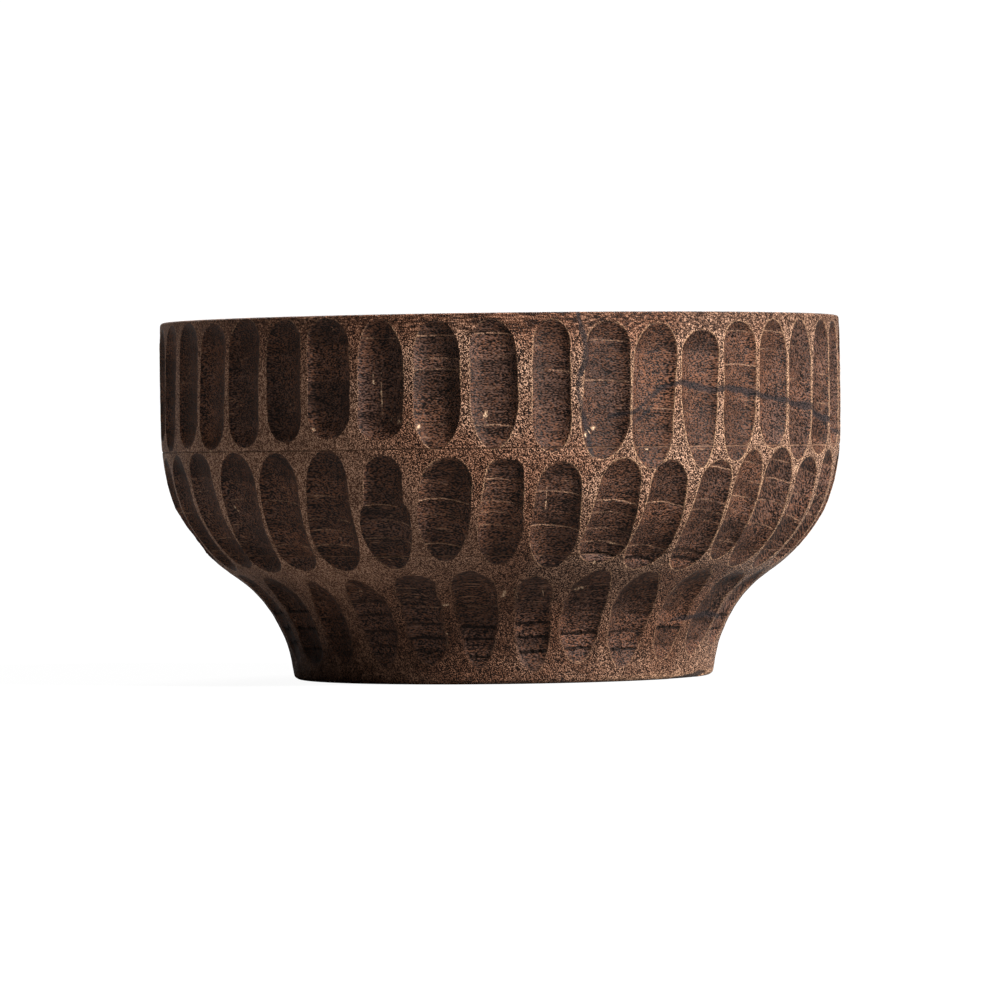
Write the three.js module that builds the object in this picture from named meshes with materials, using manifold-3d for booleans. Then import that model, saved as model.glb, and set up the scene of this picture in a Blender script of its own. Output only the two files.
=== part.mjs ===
// Carved wooden bowl: a round laminated bowl, gouge carved outside and smooth inside.
// Millimetres, +Z up, origin at the centre of the foot's underside, front towards -Y.
//
// Three thick boards are glued face to face. The stack is turned and hollowed, and then three rows
// of scoops are cut round the outside with a gouge: tall upright ones on the wall, shorter ones that
// lean in with the shoulder, and wide ones that taper to a point on the waist above the foot.
import * as THREE from 'three';
import { mergeVertices } from 'three/addons/utils/BufferGeometryUtils.js';
import Module from 'manifold-3d';

// Driving dimensions
const RIM_RADIUS = 149.9;        // widest radius of the ridges between the scoops
const HEIGHT = 157;              // foot to rim
const LOWER_JOINT = 55.5;        // mid height of the glue film between base board and middle board
const UPPER_JOINT = 100.4;       // mid height of the glue film between middle board and rim board
const GLUE = 0.3;                // thickness of a glue film
const ROUND_SEGMENTS = 64;       // facets round the bowl
const CUTTER_REACH = 1.31;       // size of a cutter's outline against its scoop's, so its edge is in the air
const CUTTER_WAIST = 0.70;       // the same for the ring between its middle and its edge
const CUTTER_CROWN = 9.0;        // how far the middle of a cutter stands proud of the uncut surface

// Outer profile of the uncut bowl from the foot to the rim, [radius, height]
const OUTER = [
  [89.5, 0], [92.3, 2.6], [95.0, 14.0], [100.8, 26.8], [110.4, 38.8], [124.7, 50.4],
  [136.9, 63.4], [145.3, 79.4], [149.2, 98.0], [RIM_RADIUS, 122.0], [149.3, 155.4], [147.6, HEIGHT],
];
// Inner profile from the rim to the middle of the floor
const INNER = [
  [137.4, HEIGHT], [136.2, 155.6], [136.0, 116.0], [132.6, 91.0], [124.2, 69.2],
  [107.5, 51.0], [83.0, 36.6], [50.0, 25.8], [22.0, 21.8], [0, 21.0],
];

// One scoop: [angle at mid height in degrees from the front towards +X, lean at its top, lean at its
// foot, top height, foot height, half width in mm, how much wider the foot half is, swell at mid
// height, length of its round top end, length of its round foot end, depth in mm]
const UPPER_SCOOPS = [
  [-73.01, 1.15, -1.03, 155.5, 100.6, 8.80, 0.00, 0.05, 11.0, 12.0, 2.61],
  [-63.70, 0.07, -0.98, 155.9, 102.2, 9.65, -0.00, 0.00, 11.0, 11.0, 2.58],
  [-55.34, 0.60, -0.79, 155.1, 101.2, 9.78, -0.00, 0.00, 11.0, 11.0, 3.00],
  [-46.81, 0.71, 0.07, 156.5, 101.9, 9.68, 0.00, 0.00, 11.0, 11.0, 2.79],
  [-37.75, 0.45, 0.36, 155.8, 103.8, 9.20, 0.00, 0.00, 11.0, 11.0, 2.29],
  [-28.86, -0.36, -0.30, 156.0, 104.8, 10.24, 0.00, 0.00, 11.0, 11.0, 2.85],
  [-19.55, -0.37, -0.43, 155.5, 104.1, 10.04, -0.02, 0.02, 21.0, 8.0, 2.87],
  [-10.21, -0.13, -0.29, 154.4, 100.3, 10.01, 0.06, 0.00, 14.0, 20.0, 3.14],
  [-0.98, -0.48, -0.20, 154.3, 100.0, 9.96, 0.05, 0.01, 13.0, 24.0, 2.89],
  [8.22, 0.14, 0.00, 154.0, 98.4, 8.13, 0.05, 0.00, 10.0, 14.0, 2.36],
  [17.38, 0.35, -0.90, 153.2, 95.3, 10.19, 0.12, 0.03, 9.0, 20.0, 2.99],
  [25.46, 1.08, -0.26, 152.5, 91.0, 9.92, -0.08, -0.00, 17.0, 16.0, 2.74],
  [34.12, 0.73, 0.70, 149.5, 91.1, 8.77, -0.12, 0.05, 10.0, 26.0, 2.40],
  [42.81, -0.14, -0.99, 153.2, 93.5, 9.71, -0.02, -0.01, 12.0, 23.0, 2.85],
  [51.05, 0.05, -0.13, 154.0, 98.9, 9.87, -0.02, 0.00, 18.0, 14.0, 2.92],
  [59.30, 0.00, -0.30, 154.4, 93.7, 10.10, -0.01, 0.01, 20.0, 16.0, 2.60],
  [67.90, 0.45, -0.72, 154.7, 96.1, 10.51, 0.06, 0.01, 13.0, 10.0, 2.96],
  [76.10, -0.30, 0.10, 154.4, 98.8, 9.00, 0.03, 0.10, 9.0, 9.0, 3.04],
  [84.61, -0.30, 0.14, 152.6, 100.7, 9.58, -0.04, 0.11, 9.2, 10.2, 3.05],
  [94.25, 0.13, -0.20, 153.7, 98.2, 9.30, -0.08, 0.05, 9.0, 11.0, 2.85],
  [102.06, 0.30, -0.46, 154.1, 101.5, 9.74, 0.04, 0.09, 9.2, 7.5, 2.65],
  [111.12, -0.41, 0.45, 155.8, 98.0, 9.35, -0.06, 0.04, 6.6, 9.6, 2.77],
  [120.31, -0.40, 0.13, 153.5, 104.0, 9.76, 0.02, 0.07, 9.0, 8.2, 3.06],
  [128.39, 0.14, -1.18, 155.8, 104.7, 9.49, 0.04, 0.06, 9.2, 7.2, 2.85],
  [137.85, -0.22, -0.83, 153.6, 100.5, 9.28, 0.00, 0.11, 8.9, 8.7, 2.85],
  [146.40, 0.63, -0.21, 155.1, 99.3, 9.20, -0.09, 0.06, 8.0, 9.5, 2.80],
  [155.28, 0.61, -0.17, 153.4, 101.8, 9.34, -0.05, 0.08, 7.4, 7.9, 2.94],
  [163.55, -0.03, -0.09, 155.7, 102.2, 9.01, -0.09, 0.06, 9.1, 8.9, 2.49],
  [173.14, 0.42, -0.05, 153.4, 102.0, 9.15, -0.03, 0.03, 7.6, 8.9, 2.59],
  [181.32, 0.57, 0.20, 152.6, 98.5, 9.12, -0.01, 0.06, 6.6, 8.2, 2.43],
  [190.88, 0.07, 0.83, 153.6, 97.1, 9.18, -0.07, 0.02, 7.9, 9.8, 2.94],
  [199.02, 0.99, 0.81, 153.3, 94.1, 9.56, -0.09, 0.08, 8.9, 7.9, 2.96],
  [207.30, 0.39, 0.35, 154.1, 100.0, 9.03, -0.08, 0.09, 9.5, 6.1, 2.88],
  [216.65, -0.21, 0.31, 153.8, 103.0, 9.78, 0.07, 0.17, 6.7, 11.9, 3.45],
  [226.35, 0.52, -0.20, 154.6, 99.2, 9.20, -0.09, 0.09, 6.5, 8.9, 2.74],
  [234.90, 0.45, -0.43, 154.8, 101.6, 8.82, -0.03, 0.05, 9.0, 10.3, 2.58],
  [243.35, 0.21, 0.19, 153.5, 99.3, 9.68, -0.00, 0.09, 8.1, 6.9, 2.87],
  [252.17, -0.45, -0.02, 153.6, 96.8, 8.68, -0.06, 0.12, 8.9, 10.3, 2.65],
  [259.38, 0.53, -0.53, 153.9, 101.5, 8.67, -0.02, 0.12, 7.6, 9.3, 2.39],
  [269.31, 0.24, -0.18, 155.3, 102.2, 9.93, 0.00, 0.16, 10.9, 9.8, 3.34],
  [279.17, 0.51, -1.18, 154.1, 104.9, 9.27, 0.07, 0.11, 8.3, 6.1, 2.96],
];
const MIDDLE_SCOOPS = [
  [-70.90, 0.30, -1.00, 99.3, 48.6, 10.11, -0.03, 0.07, 14.0, 6.0, 3.05],
  [-61.05, -0.04, -0.70, 100.0, 50.2, 9.48, -0.00, 0.12, 7.0, 7.0, 2.93],
  [-50.50, 0.68, -3.16, 100.0, 48.2, 11.60, -0.06, 0.02, 16.0, 7.0, 3.48],
  [-40.59, 0.82, -2.25, 99.8, 49.2, 10.70, -0.05, -0.00, 17.0, 8.0, 3.04],
  [-30.58, 0.95, -1.77, 100.8, 49.3, 10.70, 0.17, 0.02, 12.0, 16.0, 3.11],
  [-20.61, 0.82, -0.57, 80.3, 49.9, 11.52, 0.00, -0.01, 8.0, 19.0, 2.84],
  [-19.89, 0.34, -0.59, 98.1, 71.0, 8.70, 0.07, 0.01, 8.0, 8.0, 2.50],
  [-9.71, 1.16, -1.13, 97.1, 53.2, 11.07, 0.02, 0.03, 12.0, 23.0, 3.15],
  [-0.07, 0.89, -0.88, 96.2, 51.5, 8.83, 0.18, 0.05, 4.0, 19.0, 2.48],
  [9.27, 0.59, -0.15, 94.6, 49.9, 10.23, 0.13, 0.01, 10.0, 19.0, 2.81],
  [19.39, 0.95, -1.18, 95.8, 51.7, 9.95, 0.15, 0.02, 10.0, 10.0, 2.81],
  [28.53, 0.17, -1.41, 94.9, 48.7, 9.49, 0.15, 0.03, 10.0, 12.0, 2.86],
  [37.64, 1.14, 0.33, 94.6, 47.8, 9.39, 0.12, -0.01, 9.0, 12.0, 2.36],
  [45.34, 0.97, 0.48, 98.8, 51.9, 8.30, -0.06, 0.00, 17.0, 10.0, 2.30],
  [53.49, 0.20, 0.53, 99.7, 48.3, 11.31, 0.08, 0.01, 15.0, 15.0, 3.23],
  [63.49, -0.13, 0.15, 95.5, 47.5, 11.01, 0.02, 0.02, 10.0, 15.0, 3.22],
  [73.60, -0.80, -0.40, 98.4, 48.0, 9.80, 0.05, 0.10, 10.0, 10.0, 3.07],
  [83.55, 0.45, -0.54, 98.4, 52.6, 10.25, -0.02, 0.04, 11.2, 9.4, 2.64],
  [93.72, 1.36, -1.41, 96.6, 52.5, 9.97, 0.13, 0.10, 10.8, 8.9, 3.38],
  [102.38, 1.60, -1.23, 97.5, 52.5, 10.62, 0.13, 0.11, 13.2, 10.6, 3.09],
  [112.94, 1.59, -0.47, 96.9, 47.4, 9.75, 0.19, 0.08, 11.0, 9.9, 3.06],
  [122.42, 0.92, -1.48, 99.5, 49.8, 10.56, 0.09, 0.06, 8.4, 11.6, 3.47],
  [132.39, 0.89, -0.62, 98.5, 51.2, 9.00, 0.09, 0.06, 10.7, 9.7, 2.96],
  [142.12, 0.59, -0.32, 100.7, 51.2, 9.78, 0.05, 0.19, 10.1, 13.4, 3.26],
  [152.50, 0.18, -1.45, 94.7, 49.3, 10.74, 0.08, 0.08, 11.4, 7.4, 3.40],
  [161.64, 0.49, -1.88, 97.4, 53.1, 10.32, 0.04, 0.14, 11.9, 12.2, 3.34],
  [171.72, 1.41, -0.45, 94.2, 49.9, 9.60, 0.03, 0.14, 15.0, 12.6, 3.48],
  [180.41, 0.25, -0.96, 100.4, 47.7, 10.35, 0.10, 0.14, 11.1, 10.7, 3.42],
  [192.37, 1.12, -0.71, 100.8, 49.7, 9.90, 0.07, 0.07, 11.3, 10.6, 3.04],
  [200.59, 0.49, -0.51, 100.2, 46.7, 9.60, 0.12, 0.09, 10.0, 11.5, 2.71],
  [210.66, 0.72, -0.24, 97.6, 51.4, 9.04, 0.10, 0.04, 11.9, 11.7, 2.41],
  [220.68, 0.50, -0.29, 95.9, 50.5, 10.72, 0.10, 0.08, 8.4, 8.4, 3.13],
  [230.12, 0.42, -1.48, 99.5, 48.6, 10.47, 0.07, 0.14, 15.6, 9.8, 3.16],
  [239.65, 1.00, -0.40, 98.0, 49.1, 9.97, 0.08, 0.03, 12.4, 13.7, 3.00],
  [249.80, 0.62, -0.99, 99.7, 51.3, 10.11, 0.09, 0.11, 10.4, 11.0, 3.04],
  [259.63, 0.20, -1.65, 98.5, 48.4, 9.68, 0.03, 0.06, 12.0, 11.2, 2.81],
  [269.56, 0.99, -0.05, 101.0, 49.8, 9.75, 0.12, 0.18, 11.0, 9.8, 3.07],
  [279.05, 1.49, -0.92, 98.3, 51.3, 10.37, 0.14, 0.19, 10.4, 14.4, 3.32],
];
const LOWER_SCOOPS = [
  [-59.84, 1.02, -1.65, 46.0, 7.5, 9.73, -0.12, 0.00, 10.0, 7.0, 2.25],
  [-46.51, 2.06, -0.03, 44.4, 8.1, 8.30, -0.00, 0.00, 14.0, 17.0, 1.68],
  [-32.31, -0.51, -0.42, 45.4, 7.1, 9.11, -0.01, 0.01, 11.0, 23.0, 1.86],
  [-19.53, 1.06, 0.44, 47.5, 8.5, 8.83, -0.12, 0.01, 4.0, 11.0, 1.98],
  [-6.22, -0.28, -0.41, 49.0, 6.3, 9.25, -0.15, -0.04, 10.0, 26.0, 2.06],
  [7.14, -0.21, 0.64, 46.5, 5.1, 7.76, -0.08, -0.02, 9.0, 16.0, 1.68],
  [19.13, 0.83, 0.66, 49.1, 9.0, 9.57, -0.01, 0.00, 14.0, 21.0, 2.08],
  [32.39, -1.03, 0.28, 47.8, 5.9, 10.29, -0.07, 0.01, 15.0, 26.0, 2.31],
  [46.26, -0.43, 0.16, 48.3, 8.6, 9.57, -0.05, -0.02, 11.0, 26.0, 2.03],
  [60.31, -0.77, -0.78, 46.5, 10.0, 10.14, 0.03, 0.02, 4.0, 19.0, 2.37],
  [72.74, -0.80, 0.20, 47.3, 13.5, 10.12, 0.00, -0.01, 9.0, 12.0, 2.26],
  [85.70, 0.07, 0.23, 46.8, 8.9, 8.08, -0.17, 0.12, 6.0, 19.4, 1.80],
  [99.40, -0.45, 0.79, 48.4, 8.9, 8.59, -0.21, 0.17, 4.9, 18.0, 2.26],
  [113.28, 0.70, -0.80, 47.1, 8.0, 8.59, -0.22, 0.08, 8.9, 15.3, 1.95],
  [125.78, 0.32, 1.00, 48.9, 8.2, 7.98, -0.11, 0.07, 5.6, 15.3, 1.83],
  [138.78, 0.02, 0.32, 46.1, 8.7, 8.29, -0.25, 0.17, 8.4, 19.7, 1.98],
  [152.82, 0.16, 0.18, 47.1, 7.0, 8.38, -0.16, 0.04, 7.3, 17.0, 1.99],
  [166.74, 0.41, 0.65, 46.2, 5.4, 8.25, -0.18, 0.08, 9.0, 21.4, 1.87],
  [180.32, 0.11, -0.80, 44.9, 10.9, 7.58, -0.21, 0.04, 7.5, 13.2, 1.55],
  [193.91, -0.78, -0.68, 46.7, 7.4, 8.26, -0.33, -0.01, 7.5, 17.4, 1.68],
  [205.98, 0.48, -0.03, 44.9, 8.0, 7.96, -0.22, 0.11, 6.5, 19.3, 1.81],
  [219.53, 0.67, -0.61, 46.2, 10.2, 8.50, -0.21, 0.16, 5.2, 17.9, 2.13],
  [233.64, 0.18, -0.50, 49.0, 9.5, 7.84, -0.20, 0.04, 10.5, 18.5, 1.71],
  [246.17, 0.81, -0.03, 45.7, 6.1, 8.30, -0.26, 0.03, 6.2, 19.1, 1.94],
  [259.96, 0.34, -0.21, 48.7, 6.0, 8.85, -0.23, 0.17, 5.9, 17.2, 2.27],
  [274.42, 0.27, -0.46, 46.7, 6.5, 8.35, -0.21, 0.06, 4.4, 14.8, 1.98],
  [286.64, 0.72, 0.01, 47.1, 8.0, 8.15, -0.19, 0.02, 5.4, 11.5, 1.64],
];

const wasm = await Module();
wasm.setup();

function toSolid(geometry) {
  const g = geometry.clone();
  g.deleteAttribute('normal');
  g.deleteAttribute('uv');
  const m = mergeVertices(g, 1e-4);
  return new wasm.Manifold(new wasm.Mesh({
    numProp: 3,
    vertProperties: new Float32Array(m.attributes.position.array),
    triVerts: new Uint32Array(m.index.array),
  }));
}

function toGeometry(solid) {
  const mesh = solid.getMesh();
  const g = new THREE.BufferGeometry();
  g.setAttribute('position', new THREE.BufferAttribute(new Float32Array(mesh.vertProperties), 3));
  g.setIndex(new THREE.BufferAttribute(new Uint32Array(mesh.triVerts), 1));
  g.computeVertexNormals();
  return g;
}

// Radius of the uncut outside at a height
function outerRadius(z) {
  for (let i = 1; i < OUTER.length; i++) {
    const [r0, z0] = OUTER[i - 1];
    const [r1, z1] = OUTER[i];
    if (z <= z1) return r0 + (r1 - r0) * Math.max(0, z - z0) / (z1 - z0);
  }
  return OUTER[OUTER.length - 1][0];
}

// A solid of revolution about +Z; the profile is [radius, height] and starts and ends on the axis
function turned(profile) {
  const points = profile.map(([r, z]) => new THREE.Vector2(r, z));
  const g = new THREE.LatheGeometry(points, ROUND_SEGMENTS);
  g.rotateX(Math.PI / 2);   // the lathe axis +Y becomes +Z
  return g;
}

// The cutter for one scoop: a lens with a crowned back, bent round the bowl and along its profile.
// It starts as a sphere, so that its poles are the deepest point and the crown.
function scoopCutter([angle, leanTop, leanFoot, top, foot, half, foots, swell, topEnd, footEnd, depth]) {
  const length = top - foot;
  const rounded = (distance, end) => {
    const t = Math.min(1, Math.max(0, distance / end));
    return Math.sqrt(Math.max(1e-6, 1 - (1 - t) * (1 - t)));
  };
  const g = new THREE.SphereGeometry(1, 8, 4);
  const p = g.attributes.position;
  const middle = (top + foot) / 2;
  for (let i = 0; i < p.count; i++) {
    // the sphere's latitude says how far out on the lens a point lies, and its longitude which way
    const level = Math.round(Math.abs(Math.asin(Math.max(-1, Math.min(1, p.getY(i))))) / (Math.PI / 4));
    const rho = [CUTTER_REACH, CUTTER_WAIST, 0][level];
    const round = Math.max(1e-9, Math.hypot(p.getX(i), p.getZ(i)));
    const across = rho === 0 ? 0 : p.getX(i) / round;
    const v = rho === 0 ? 0 : -p.getZ(i) / round;       // +1 at the top end; the sign keeps the faces outward
    const sEdge = (1 - v) / 2;                          // where the outline is met: 0 at the top, 1 at the foot
    const e = 2 * sEdge - 1;
    const halfWidth = half * (1 + foots * e + swell * (1 - e * e))
      * rounded(sEdge * length, topEnd) * rounded((1 - sEdge) * length, footEnd);
    const side = Math.abs(across) < 1e-6 ? 0 : Math.sign(across);
    const z = middle + rho * (top + (foot - top) * sEdge - middle);
    const s = (top - z) / length;
    const r = outerRadius(z);
    // a quadratic through the three lean angles
    const lean = leanTop * (1 - s) * (1 - 2 * s) + leanFoot * s * (2 * s - 1);
    const theta = (angle + lean) * Math.PI / 180 + (rho * halfWidth * side) / r;
    const cut = -depth * (1 - rho * rho);
    const inside = p.getY(i) < 1e-6;
    const radial = inside ? cut : cut + CUTTER_CROWN * (1 - (rho / CUTTER_REACH) ** 2) + depth * (1 - rho / CUTTER_REACH);
    const rr = r + radial;
    p.setXYZ(i, rr * Math.sin(theta), -rr * Math.cos(theta), z);
  }
  return toSolid(g);
}

const whole = toSolid(turned([[0, 0], ...OUTER, ...INNER]));
let cutters = null;
for (const scoop of [...UPPER_SCOOPS, ...MIDDLE_SCOOPS, ...LOWER_SCOOPS]) {
  const cutter = scoopCutter(scoop);
  cutters = cutters ? cutters.add(cutter) : cutter;
}
const carved = whole.subtract(cutters);

// The part of the carved bowl between two heights
function layer(z0, z1) {
  const slab = new THREE.BoxGeometry(400, 400, z1 - z0);
  slab.translate(0, 0, (z0 + z1) / 2);
  return carved.intersect(toSolid(slab));
}

const group = new THREE.Group();
group.name = 'carved_wooden_bowl';

function addPart(name, solid, color, roughness) {
  const material = new THREE.MeshStandardMaterial({ color, roughness, metalness: 0 });
  const mesh = new THREE.Mesh(toGeometry(solid), material);
  mesh.name = name;
  group.add(mesh);
}

addPart('base_board', layer(-1, LOWER_JOINT - GLUE / 2), 0x4a3527, 0.62);
addPart('glue_line_lower', layer(LOWER_JOINT - GLUE / 2, LOWER_JOINT + GLUE / 2), 0x241a13, 0.5);
addPart('middle_board', layer(LOWER_JOINT + GLUE / 2, UPPER_JOINT - GLUE / 2), 0x4d382b, 0.62);
addPart('glue_line_upper', layer(UPPER_JOINT - GLUE / 2, UPPER_JOINT + GLUE / 2), 0x241a13, 0.5);
addPart('rim_board', layer(UPPER_JOINT + GLUE / 2, HEIGHT + 1), 0x52402f, 0.62);

export default group;
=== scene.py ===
import bpy, math
import numpy as np
from mathutils import Vector, Matrix


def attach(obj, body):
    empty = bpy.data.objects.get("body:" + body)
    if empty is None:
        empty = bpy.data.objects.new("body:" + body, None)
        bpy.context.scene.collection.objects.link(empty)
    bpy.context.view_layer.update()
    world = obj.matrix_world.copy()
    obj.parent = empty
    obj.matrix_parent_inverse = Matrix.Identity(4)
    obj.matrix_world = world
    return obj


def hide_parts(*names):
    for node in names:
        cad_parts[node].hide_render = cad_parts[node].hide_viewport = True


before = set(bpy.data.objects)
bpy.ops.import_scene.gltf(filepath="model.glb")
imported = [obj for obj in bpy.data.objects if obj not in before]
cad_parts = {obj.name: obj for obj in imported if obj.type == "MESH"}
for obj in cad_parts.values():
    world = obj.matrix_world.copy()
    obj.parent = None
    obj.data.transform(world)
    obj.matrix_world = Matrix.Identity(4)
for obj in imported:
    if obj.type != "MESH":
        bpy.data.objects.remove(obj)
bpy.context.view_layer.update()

# ---------------------------------------------------------------- dimensions (mm, as in the CAD part)
RIM_RADIUS, HEIGHT = 149.9, 157.0
LOWER_JOINT, UPPER_JOINT, GLUE = 55.5, 100.4, 0.3

# outside of the uncut bowl, foot to rim
OUT_Z = [0.0, 1.2, 3.0, 5.6, 8.3, 10.9, 13.6, 16.2, 18.8, 21.5, 24.1, 26.75, 29.4, 32.0, 34.7, 37.3, 40.0, 42.6,
         45.2, 47.9, 50.5, 53.2, 55.8, 58.4, 63.7, 69.0, 74.25, 79.5, 84.8, 90.0, 95.3, 100.6, 105.8, 113.7,
         126.9, 137.4, 147.9, 153.0, 157.0]
OUT_R = [91.6, 92.1, 92.5, 93.0, 93.5, 94.1, 94.8, 95.7, 96.8, 98.0, 99.3, 100.7, 102.3, 104.1, 106.1, 108.5, 111.2,
         114.3, 117.7, 121.2, 124.5, 127.5, 130.2, 132.6, 136.8, 140.3, 143.0, 145.0, 146.6, 147.7, 148.5, 149.05,
         149.4, 149.6, 149.7, 149.65, 149.5, 149.3, 149.15]
# inside, rim to the middle of the floor
IN_R = [136.3, 136.2, 136.1, 135.3, 133.0, 129.0, 123.0, 114.0, 102.0, 87.0, 69.0, 46.0, 22.0, 0.0]
IN_Z = [157.0, 140.0, 122.0, 106.0, 91.0, 77.5, 67.0, 57.0, 47.5, 38.8, 31.3, 25.3, 22.0, 21.0]

# one scoop: [angle at mid height from the front towards +X (deg), lean at its top, lean at its foot, top height,
#             foot height, half width, how much wider the foot half is, swell at mid height, length of its round
#             top end, length of its round foot end, depth]
UPPER_SCOOPS = [
    [-73.01, 1.15, -1.03, 155.5, 100.6, 8.80, 0.00, 0.05, 11.0, 12.0, 2.61],
    [-63.70, 0.07, -0.98, 155.9, 102.2, 9.65, -0.00, 0.00, 11.0, 11.0, 2.58],
    [-55.34, 0.60, -0.79, 155.1, 101.2, 9.78, -0.00, 0.00, 11.0, 11.0, 3.00],
    [-46.81, 0.71, 0.07, 156.5, 101.9, 9.68, 0.00, 0.00, 11.0, 11.0, 2.79],
    [-37.75, 0.45, 0.36, 155.8, 103.8, 9.20, 0.00, 0.00, 11.0, 11.0, 2.29],
    [-28.86, -0.36, -0.30, 156.0, 104.8, 10.24, 0.00, 0.00, 11.0, 11.0, 2.85],
    [-19.55, -0.37, -0.43, 155.5, 104.1, 10.04, -0.02, 0.02, 21.0, 8.0, 2.87],
    [-10.21, -0.13, -0.29, 154.4, 100.3, 10.01, 0.06, 0.00, 14.0, 20.0, 3.14],
    [-0.98, -0.48, -0.20, 154.3, 100.0, 9.96, 0.05, 0.01, 13.0, 24.0, 2.89],
    [8.22, 0.14, 0.00, 154.0, 98.4, 8.13, 0.05, 0.00, 10.0, 14.0, 2.36],
    [17.38, 0.35, -0.90, 153.2, 95.3, 10.19, 0.12, 0.03, 9.0, 20.0, 2.99],
    [25.46, 1.08, -0.26, 152.5, 91.0, 9.92, -0.08, -0.00, 17.0, 16.0, 2.74],
    [34.12, 0.73, 0.70, 149.5, 91.1, 8.77, -0.12, 0.05, 10.0, 26.0, 2.40],
    [42.81, -0.14, -0.99, 153.2, 93.5, 9.71, -0.02, -0.01, 12.0, 23.0, 2.85],
    [51.05, 0.05, -0.13, 154.0, 98.9, 9.87, -0.02, 0.00, 18.0, 14.0, 2.92],
    [59.30, 0.00, -0.30, 154.4, 93.7, 10.10, -0.01, 0.01, 20.0, 16.0, 2.60],
    [67.90, 0.45, -0.72, 154.7, 96.1, 10.51, 0.06, 0.01, 13.0, 10.0, 2.96],
    [76.10, -0.30, 0.10, 154.4, 98.8, 9.00, 0.03, 0.10, 9.0, 9.0, 3.04],
    [84.61, -0.30, 0.14, 152.6, 100.7, 9.58, -0.04, 0.11, 9.2, 10.2, 3.05],
    [94.25, 0.13, -0.20, 153.7, 98.2, 9.30, -0.08, 0.05, 9.0, 11.0, 2.85],
    [102.06, 0.30, -0.46, 154.1, 101.5, 9.74, 0.04, 0.09, 9.2, 7.5, 2.65],
    [111.12, -0.41, 0.45, 155.8, 98.0, 9.35, -0.06, 0.04, 6.6, 9.6, 2.77],
    [120.31, -0.40, 0.13, 153.5, 104.0, 9.76, 0.02, 0.07, 9.0, 8.2, 3.06],
    [128.39, 0.14, -1.18, 155.8, 104.7, 9.49, 0.04, 0.06, 9.2, 7.2, 2.85],
    [137.85, -0.22, -0.83, 153.6, 100.5, 9.28, 0.00, 0.11, 8.9, 8.7, 2.85],
    [146.40, 0.63, -0.21, 155.1, 99.3, 9.20, -0.09, 0.06, 8.0, 9.5, 2.80],
    [155.28, 0.61, -0.17, 153.4, 101.8, 9.34, -0.05, 0.08, 7.4, 7.9, 2.94],
    [163.55, -0.03, -0.09, 155.7, 102.2, 9.01, -0.09, 0.06, 9.1, 8.9, 2.49],
    [173.14, 0.42, -0.05, 153.4, 102.0, 9.15, -0.03, 0.03, 7.6, 8.9, 2.59],
    [181.32, 0.57, 0.20, 152.6, 98.5, 9.12, -0.01, 0.06, 6.6, 8.2, 2.43],
    [190.88, 0.07, 0.83, 153.6, 97.1, 9.18, -0.07, 0.02, 7.9, 9.8, 2.94],
    [199.02, 0.99, 0.81, 153.3, 94.1, 9.56, -0.09, 0.08, 8.9, 7.9, 2.96],
    [207.30, 0.39, 0.35, 154.1, 100.0, 9.03, -0.08, 0.09, 9.5, 6.1, 2.88],
    [216.65, -0.21, 0.31, 153.8, 103.0, 9.78, 0.07, 0.17, 6.7, 11.9, 3.45],
    [226.35, 0.52, -0.20, 154.6, 99.2, 9.20, -0.09, 0.09, 6.5, 8.9, 2.74],
    [234.90, 0.45, -0.43, 154.8, 101.6, 8.82, -0.03, 0.05, 9.0, 10.3, 2.58],
    [243.35, 0.21, 0.19, 153.5, 99.3, 9.68, -0.00, 0.09, 8.1, 6.9, 2.87],
    [252.17, -0.45, -0.02, 153.6, 96.8, 8.68, -0.06, 0.12, 8.9, 10.3, 2.65],
    [259.38, 0.53, -0.53, 153.9, 101.5, 8.67, -0.02, 0.12, 7.6, 9.3, 2.39],
    [269.31, 0.24, -0.18, 155.3, 102.2, 9.93, 0.00, 0.16, 10.9, 9.8, 3.34],
    [279.17, 0.51, -1.18, 154.1, 104.9, 9.27, 0.07, 0.11, 8.3, 6.1, 2.96],
]
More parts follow.
